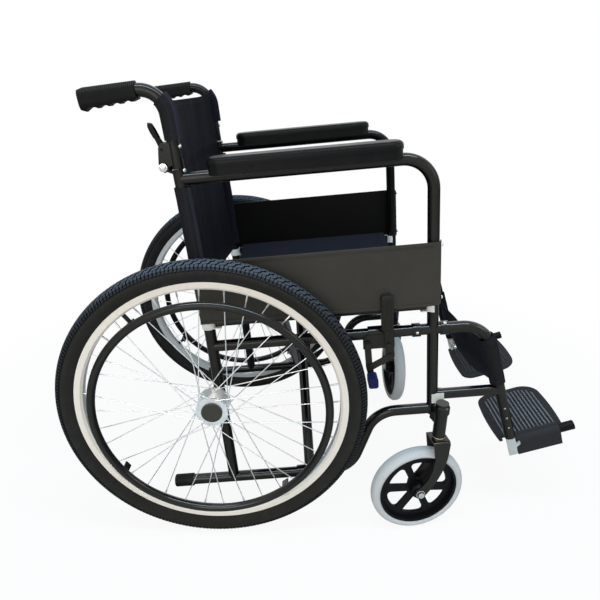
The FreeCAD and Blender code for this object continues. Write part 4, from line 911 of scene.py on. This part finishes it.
class CHAIR_OT_seat_cloth(Operator):
    """Make the seat cloth that is stretched between the two seat rails"""
    bl_idname = "chair.seat_cloth"
    bl_label = "Seat cloth"

    def execute(self, context):
        s = sizes()
        radius = s.tube + s.cloth_gap
        quarter = radius * math.pi / 2 * 1.05
        width = 2 * (s.side + quarter)
        top = s.seat_height + radius
        length = s.seat_rear - s.seat_front

        def place(u, v):
            reach = (u - 0.5) * width
            over = abs(reach) - s.side
            y = s.seat_front + v * length
            if over > 0:
                angle = over / radius
                x = math.copysign(s.side + radius * math.sin(angle), reach)
                return x, y, s.seat_height + radius * math.cos(angle)
            share = 1 - (reach / s.side) ** 2
            edge = smooth_step(min(v, 1 - v) / 0.12)
            sag = s.seat_sag * share * (0.75 + 0.25 * edge)
            pull = ripple(reach * 9, y * 26, 1.7, 0.0022) * share
            return reach, y, top - sag + pull

        obj = cloth_grid("seat_cloth", 120, 72, place)
        cloth_map(obj, width, length)
        matrix = level_matrix()
        tailored(obj, matrix, offset=1.0)
        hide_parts("seat_sling")
        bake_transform(obj)
        return {"FINISHED"}


class CHAIR_OT_back_cloth(Operator):
    """Make the two back cloths with their sleeves round the posts"""
    bl_idname = "chair.back_cloth"
    bl_label = "Back cloth"

    def web(self, name, bottom, top, node, body, behind, rise):
        """The sheet between the sleeves, whose upper edge rises towards them."""
        s = sizes()
        edge = s.side - (s.tube + s.cloth_gap + s.cloth / 2) * 0.8
        height = top - bottom

        def place(u, v):
            x = (u - 0.5) * 2 * edge
            z = bottom + v * (height + rise * (x / edge) ** 6)
            share = 1 - (x / edge) ** 2
            bow = s.back_sag * share
            fold = ripple(x * 16, z * 3.2, 3.1, 0.007) * share
            return x, post_y(z) + bow + fold + behind, z

        obj = cloth_grid(name, 110, 60, place)
        cloth_map(obj, 2 * edge, height)
        tailored(obj, level_matrix(), body)
        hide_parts(node)
        folds_up(obj, edge)
        return obj, (2 * edge, height)

    def sleeves(self, name, path, low, high, bulge, body):
        """The two sleeves of a back cloth, sewn along their front inner sides."""
        left = wrapped(name + "_left", path, low, high, math.radians(-62), bulge)
        tailored(left, level_matrix(), offset=1.0)
        right = twin(left, name + "_right")
        for side, piece in (("left", left), ("right", right)):
            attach(piece, body + side)
        return [left, right]

    @staticmethod
    def straight(z):
        """Along the straight rear post."""
        return post_y(z), z, 0.0

    @staticmethod
    def bent(z):
        """Along the folding tube and on round its bend to the handle."""
        s = sizes()
        low = s.handle_height - s.handle_bend
        if z < low:
            return post_y(z), z, 0.0
        turned = (z - low) / s.handle_bend
        return (post_y(low) + s.handle_bend * (1 - math.cos(turned)),
                low + s.handle_bend * math.sin(turned), turned)

    def execute(self, context):
        s = sizes()
        layer = s.back_layer
        lower, lower_flat = self.web("back_cloth_lower", s.back_bottom,
                                     s.back_split + s.back_overlap, "back_sling_lower",
                                     "frame_right", layer, 0.0)
        upper, upper_flat = self.web("back_cloth_upper", s.back_split - s.back_overlap,
                                     s.back_top, "back_sling_upper", "back_right", -layer,
                                     s.back_rise)
        low = self.sleeves("back_sleeve_lower", self.straight, s.lower_foot, s.lower_sleeve,
                           0.003, "frame_")
        reach = s.handle_height - s.handle_bend * (1 - s.sleeve_turn)
        high = self.sleeves("back_sleeve_upper", self.bent, s.upper_sleeve, reach, 0.0045,
                            "back_")
        return {"FINISHED"}


class CHAIR_OT_calf_strap(Operator):
    """Make the slack strap between the footrest hangers"""
    bl_idname = "chair.calf_strap"
    bl_label = "Calf strap"

    @staticmethod
    def path(along):
        """Middle of a hanger's tube, which bends rearwards at its top."""
        s = sizes()
        corner = (s.rail_height - s.hanger_z) / math.cos(s.hanger_angle)
        half_turn = (math.pi / 2 - s.hanger_angle) / 2
        start = corner - s.hanger_bend * math.tan(half_turn)
        if along < start:
            return 0.0, along, 0.0
        turned = (along - start) / s.hanger_bend
        return (s.hanger_bend * (1 - math.cos(turned)),
                start + s.hanger_bend * math.sin(turned), turned)

    def loop(self, side, low, high):
        """The loop round one hanger; the left loop is left open behind, where its hanger's stay
        leaves it.
        """
        s = sizes()
        right = side == "right"
        obj = wrapped("calf_loop_" + side, self.path, low, high, math.radians(110), 0.003,
                      mirror=right)
        if not right:
            mesh = obj.data
            for part in (*mesh.polygons, *mesh.edges):
                part.select = False
            for vertex in mesh.vertices:
                vertex.select = vertex.co.z > s.stay and vertex.co.y > s.stay_front
            with editing(everything=False):
                bpy.ops.mesh.delete(type="VERT")
        return tailored(obj, hanger_matrix(), "frame_" + side, 1.0)

    def execute(self, context):
        s = sizes()
        wrap = s.tube + s.cloth_gap + s.cloth / 2
        edge, back = s.side - wrap * 0.8, wrap * 0.6
        near = s.loop_near_low, s.loop_near_top
        far = s.loop_far_low, s.loop_far_top

        def place(u, v):
            x = (u - 0.5) * 2 * edge
            share = 1 - (x / edge) ** 2
            low = near[0] + (far[0] - near[0]) * u
            high = near[1] + (far[1] - near[1]) * u
            belly = s.calf_belly * share * math.sin(math.pi * v)
            fold = ripple(x * 9, v * 2.5, 8.3, 0.008) * share
            behind, _, _ = self.path(low + v * (high - low))
            return x, behind + back + belly + fold, low + v * (high - low) - s.calf_sag * share

        web = cloth_grid("calf_cloth", 110, 30, place)
        height = near[1] - near[0]
        cloth_map(web, 2 * edge, height)
        tailored(web, hanger_matrix(), "frame_right")
        loops = [self.loop("right", *near), self.loop("left", *far)]
        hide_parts("calf_strap")
        folds_up(web, edge)
        2 * edge * 1.05
        return {"FINISHED"}


class CHAIR_OT_tyres(Operator):
    """Make the rear tyres with their tread blocks"""
    bl_idname = "chair.tyres"
    bl_label = "Rear tyres"

    # Each row of blocks: its distance from the tyre's middle, its width, its length as a
    # share of a pitch, its skew, its drift, and where in a pitch its blocks start.
    ROWS = (
        (0.0034, 0.0062, 0.93, 0.5, 0.0022, (0.0,)),
        (0.0103, 0.0060, 0.93, 0.5, 0.0022, (0.5,)),
        (0.0156, 0.0042, 0.40, 0.2, 0.0, (0.0, 0.5)),
        (0.0190, 0.0026, 0.32, 0.0, 0.0, (0.0, 0.5)),
    )

    def carcass(self):
        """The tyre's section, spun about the axle."""
        s = sizes()
        radius = s.wheel - s.tread_depth
        clear()
        bpy.ops.mesh.primitive_circle_add(vertices=40, radius=1, fill_type="NOTHING")
        obj = named("rear_tyre_left")
        bead, widest, half, foot = s.tyre_bead, s.tyre_widest, s.tyre_half, s.tyre_foot
        for vertex in obj.data.vertices:
            angle = math.atan2(vertex.co.y, vertex.co.x)
            side, up = math.cos(angle), math.sin(angle)
            if up >= 0:
                across = math.copysign(abs(side) ** 0.86, side) * half
                out = widest + (radius - widest) * up ** 0.86
            else:
                share = -up
                across = math.copysign(abs(side) ** 0.5, side) * (half - (half - foot) * share)
                out = widest + (bead - widest) * share ** 0.9
            vertex.co = (across, 0, out)
        with editing():
            bpy.ops.mesh.spin(steps=160, angle=2 * math.pi, center=(0, 0, 0), axis=(1, 0, 0))
            weld()
        return obj

    def surface(self, across):
        """Radius of the carcass at a distance from its middle."""
        s = sizes()
        share = min(1.0, abs(across) / s.tyre_half)
        height = s.wheel - s.tread_depth - s.tyre_widest
        return s.tyre_widest + height * (1 - share ** (2 / 0.86)) ** 0.43

    def block(self, across, angle, wide, long, skew, drift):
        """One tread block at a place round the tyre, with slanted ends and sides."""
        s = sizes()
        clear()
        bpy.ops.mesh.primitive_cube_add(size=1)
        obj = named("block")
        for vertex in obj.data.vertices:
            raised = vertex.co.z > 0
            taper = 0.9 if raised else 1.0
            x = across + vertex.co.x * wide * taper + vertex.co.y * drift
            lift = s.tread_depth * (1 if raised else -0.6)
            tilt = abs(x) / s.tyre_half
            radius = self.surface(x) + lift * (1 - 0.45 * tilt)
            outwards = math.copysign(lift * 0.8 * tilt ** 2, x) if raised else 0
            place = angle + (vertex.co.y * long * taper + skew * vertex.co.x * wide) / radius
            vertex.co = (x + outwards, radius * math.sin(place), radius * math.cos(place))
        return obj

    def execute(self, context):
        s = sizes()
        step = 2 * math.pi / s.tread_pitches
        length = step * s.wheel
        blocks = []
        for sign in (1, -1):
            start = 0.25 * step * sign
            for across, wide, share, skew, drift, places in self.ROWS:
                for place in places:
                    blocks.append(self.block(sign * across, start + place * step, wide,
                                             length * share, sign * skew, sign * drift))
        tread = joined(blocks, "tread_left")
        with editing():
            bpy.ops.mesh.spin(steps=s.tread_pitches, dupli=True, angle=2 * math.pi,
                              center=(0, 0, 0), axis=(1, 0, 0))
            weld(0.00001)
        tyre = self.carcass()
        rubber, top = tyre_finish(), tread_finish()
        at = Matrix.Translation(RIM["left"])
        settled(tyre, at)
        settled(tread, at)
        pairs = {"left": (tyre, tread),
                 "right": (twin(tyre, "rear_tyre_right"), twin(tread, "tread_right"))}
        for side, (body, blocks) in pairs.items():
            finished(body, rubber, "rear_wheel_" + side, smooth=50)
            finished(blocks, top, "rear_wheel_" + side, smooth=20)
            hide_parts("tyre_" + side)
        return {"FINISHED"}


class CHAIR_OT_fasteners(Operator):
    """Make the screws, bolts, washers and spoke nipples"""
    bl_idname = "chair.fasteners"
    bl_label = "Fasteners"

    def execute(self, context):
        s = sizes()
        steel = bpy.data.materials["bright_steel"]
        panel = s.panel_front
        forward = (0.35, -1, 0)
        heads = [
            ("hinge_bolt", (s.side + 0.0162, 0.0215, 0.7635), (1, 0, 0), 0.0054, 0.0046,
             "back_"),
            ("panel_screw_low", (s.side + 0.0045, panel, 0.479), (0.25, -1, 0),
             0.0040, 0.0026, "frame_"),
            ("panel_screw_high", (s.side + 0.0045, panel, 0.583), (0.25, -1, 0),
             0.0034, 0.0022, "frame_"),
            ("hanger_screw", (s.side + 0.005, -0.463, s.rail_height + 0.0126),
             (0.38, 0, 0.92), 0.0040, 0.0028, "frame_"),
            ("rail_screw", (s.side + 0.0136, -0.4085, s.rail_height), (1, 0, 0), 0.0032,
             0.002, "frame_"),
            ("arm_screw", (s.side + 0.0042, post_y(0.7545) - 0.0104, 0.7545), forward,
             0.0040, 0.0026, "frame_"),
            ("back_screw", (s.side + 0.0042, post_y(0.795) - 0.0104, 0.795), forward,
             0.0040, 0.0026, "back_"),
        ]
        matrix = level_matrix()
        for name, base, direction, radius, height, body in heads:
            maker = bolt_head if name == "hinge_bolt" else button_head
            left = settled(maker(name + "_left", base, direction, radius, height), matrix)
            right = twin(left, name + "_right")
            finished(left, steel, body + "left", 30)
            finished(right, steel, body + "right", 30)
        self.castor_bolts(steel)
        self.washers()
        self.nipples()
        return {"FINISHED"}

    def castor_bolts(self, steel):
        """Bright bolt heads and nuts on both ends of each castor's axle."""
        s = sizes()
        for side in SIDES:
            axis = Vector(joint("castor_spin_" + side)["axis"]).normalized()
            centre = Vector(joint("castor_spin_" + side)["pos_m"])
            for end in (-1, 1):
                name = f"castor_bolt_{side}_{'outer' if end > 0 else 'inner'}"
                head = bolt_head(name, centre + axis * end * s.castor_bolt, axis * end, 0.0070,
                                 0.0062)
                finished(head, steel, "castor_fork_" + side, 30)

    def washers(self):
        """Yellow plated washers between the forks and their barrels."""
        brass = steel_finish("yellow_zinc", colours().brass, 0.34)
        for side in SIDES:
            pivot = Vector(joint("castor_swivel_" + side)["pos_m"])
            low = Vector((pivot.x, pivot.y, sizes().fork_washer))
            ring = turned_rod("castor_washer_" + side, low, low + Vector((0, 0, 0.0028)),
                              0.0128, 40, 0.0004)
            settled(ring)
            finished(ring, brass, "castor_fork_" + side, 30)

    def nipples(self):
        """A nipple where each spoke meets the rim."""
        s = sizes()
        step = 2 * math.pi / s.spokes
        parts = []
        for number in range(s.spokes):
            outer, pair = number % 2, number // 2
            lead = 1 if pair % 2 else -1
            hub_angle = step * number + s.spoke_turn - s.lean
            rim_angle = hub_angle + lead * s.spoke_lacing
            across = s.flange_outer if outer else -s.flange_inner
            hole = Vector((across + lead * s.spoke_stagger, s.spoke_circle * math.cos(hub_angle),
                           s.spoke_circle * math.sin(hub_angle)))
            offset = s.rim_offset if outer else -s.rim_offset
            seat = Vector((offset, s.rim_inside * math.cos(rim_angle),
                           s.rim_inside * math.sin(rim_angle)))
            parts.append(turned_rod("nipple", seat, seat.lerp(hole, 0.055), s.nipple, 8))
        left = joined(parts, "nipples_left")
        settled(left, Matrix.Translation(RIM["left"]))
        right = twin(left, "nipples_right")
        material = bpy.data.materials["spoke_steel"]
        finished(left, material, "rear_wheel_left", 40)
        finished(right, material, "rear_wheel_right", 40)


class CHAIR_OT_stage(Operator):
    """Make the floor, the lights and the camera"""
    bl_idname = "chair.stage"
    bl_label = "Stage"

    def lamp(self, name, place, target, width, watts, tint, length=None):
        """A rectangular lamp that faces a target."""
        clear()
        bpy.ops.object.light_add(type="AREA", location=place)
        obj = bpy.context.object
        obj.name = name
        obj.rotation_euler = (Vector(target) - Vector(place)).to_track_quat("-Z", "Y").to_euler()
        obj.data.shape = "RECTANGLE"
        obj.data.size, obj.data.size_y = length or width, width
        obj.data.energy = watts
        obj.data.color = tint

    def floor(self):
        """A pale floor that keeps the shadow and fades to white further out."""
        clear()
        bpy.ops.mesh.primitive_plane_add(size=30, location=(0, 0, -0.0005))
        obj = named("floor")
        finish = Finish("floor", colours().floor, 0.9, shine=0.5)
        away = finish.wire("VectorMath", {"operation": "LENGTH"}, {0: finish.place()}, "Value")
        camera_ray = finish.wire("LightPath", out="Is Camera Ray")
        mixed = finish.wire("MixShader", None, {
            "Fac": camera_ray * (away.between(0.55, 1.5) * 0.08 + 0.92),
            1: Wire(finish, finish.shader.outputs[0]),
            2: finish.wire("Emission")})
        finish.fill(finish.tree.nodes["Material Output"].inputs["Surface"], mixed)
        obj.data.materials.append(finish.material)

    def world(self):
        """A soft sky that lights the chair, seen as plain white."""
        world = bpy.data.worlds.new("studio")
        bpy.context.scene.world = world
        world.use_nodes = True
        graph = Graph(world.node_tree)
        lit = graph.tree.nodes["Background"]
        height = graph.split(graph.place("Generated"))[2]
        sky = graph.wire("ValToRGB",
                         {"stops": ((0.0, (0.42, 0.38, 0.33)), (0.52, (0.62, 0.60, 0.57)),
                                    (1.0, (0.58, 0.77, 1.0)))}, {0: height * 0.5 + 0.5})
        graph.fill(lit.inputs["Color"], sky)
        graph.fill(lit.inputs["Strength"], 0.42)
        rays = graph.node("LightPath").outputs
        camera, glossy, through = (Wire(graph, rays[kind]) for kind in (
            "Is Camera Ray", "Is Glossy Ray", "Is Transmission Ray"))
        mixed = graph.wire("MixShader", None, {
            "Fac": camera.math("MAXIMUM", glossy).math("MAXIMUM", through),
            1: Wire(graph, lit.outputs[0]),
            2: graph.wire("Background", None, {"Color": (1, 1, 1, 1)})})
        graph.fill(graph.tree.nodes["World Output"].inputs["Surface"], mixed)

    def camera(self):
        """The camera, with its place and its three angles."""
        s = sizes()
        data = bpy.data.cameras.new("camera")
        obj = bpy.data.objects.new("camera", data)
        bpy.context.collection.objects.link(obj)
        data.sensor_width = 36
        data.lens = s.camera_lens
        forward = Vector((math.cos(s.camera_yaw) * math.cos(s.camera_pitch),
                          math.sin(s.camera_yaw) * math.cos(s.camera_pitch),
                          -math.sin(s.camera_pitch)))
        right = forward.cross(Vector((0, 0, 1))).normalized()
        up = right.cross(forward)
        cos_roll, sin_roll = math.cos(s.camera_roll), math.sin(s.camera_roll)
        side = right * cos_roll + up * sin_roll
        top = up * cos_roll - right * sin_roll
        turn_to = Matrix((side, top, -forward)).transposed().to_4x4()
        place = Matrix.Translation((AXLE.x - s.camera_side, AXLE.y - s.camera_ahead,
                                    s.camera_height))
        obj.matrix_world = place @ turn_to
        bpy.context.scene.camera = obj

    def execute(self, context):
        self.floor()
        self.world()
        self.camera()
        self.lamp("top_light", (-0.9, 0, 3.0), (0, 0, 0.4), 0.3, 56, (0.62, 0.83, 1.0), 3.0)
        self.lamp("side_light", (-2.8, 0.9, 1.3), (0, 0, 0.4), 1.6, 34, (1.0, 0.96, 0.90))
        self.lamp("front_light", (-1.2, -2.6, 1.8), (0, 0, 0.5), 1.2, 14, (1.0, 0.98, 0.95))
        bpy.context.scene.view_settings.view_transform = "Standard"
        return {"FINISHED"}


class CHAIR_PT_dressing(Panel):
    """List of the pieces that dress the chair"""
    bl_idname = "CHAIR_PT_dressing"
    bl_label = "Wheelchair"
    bl_space_type = "VIEW_3D"
    bl_region_type = "UI"
    bl_category = "Wheelchair"

    def draw(self, context):
        for operator in OPERATORS:
            self.layout.operator(operator.bl_idname)


OPERATORS = (CHAIR_OT_stage, CHAIR_OT_finishes, CHAIR_OT_seat_cloth, CHAIR_OT_back_cloth,
             CHAIR_OT_calf_strap, CHAIR_OT_tyres, CHAIR_OT_fasteners)
CLASSES = (ChairSizes, ChairColours, *OPERATORS, CHAIR_PT_dressing)


def register():
    for item in CLASSES:
        bpy.utils.register_class(item)
    bpy.types.Scene.chair_sizes = PointerProperty(type=ChairSizes)
    bpy.types.Scene.chair_colours = PointerProperty(type=ChairColours)


def unregister():
    del bpy.types.Scene.chair_colours
    del bpy.types.Scene.chair_sizes
    for item in reversed(CLASSES):
        bpy.utils.unregister_class(item)


def main():
    register()
    bpy.ops.chair.stage()
    bpy.ops.chair.finishes()
    bpy.ops.chair.seat_cloth()
    bpy.ops.chair.back_cloth()
    bpy.ops.chair.calf_strap()
    bpy.ops.chair.tyres()
    bpy.ops.chair.fasteners()


if __name__ == "__main__":
    main()
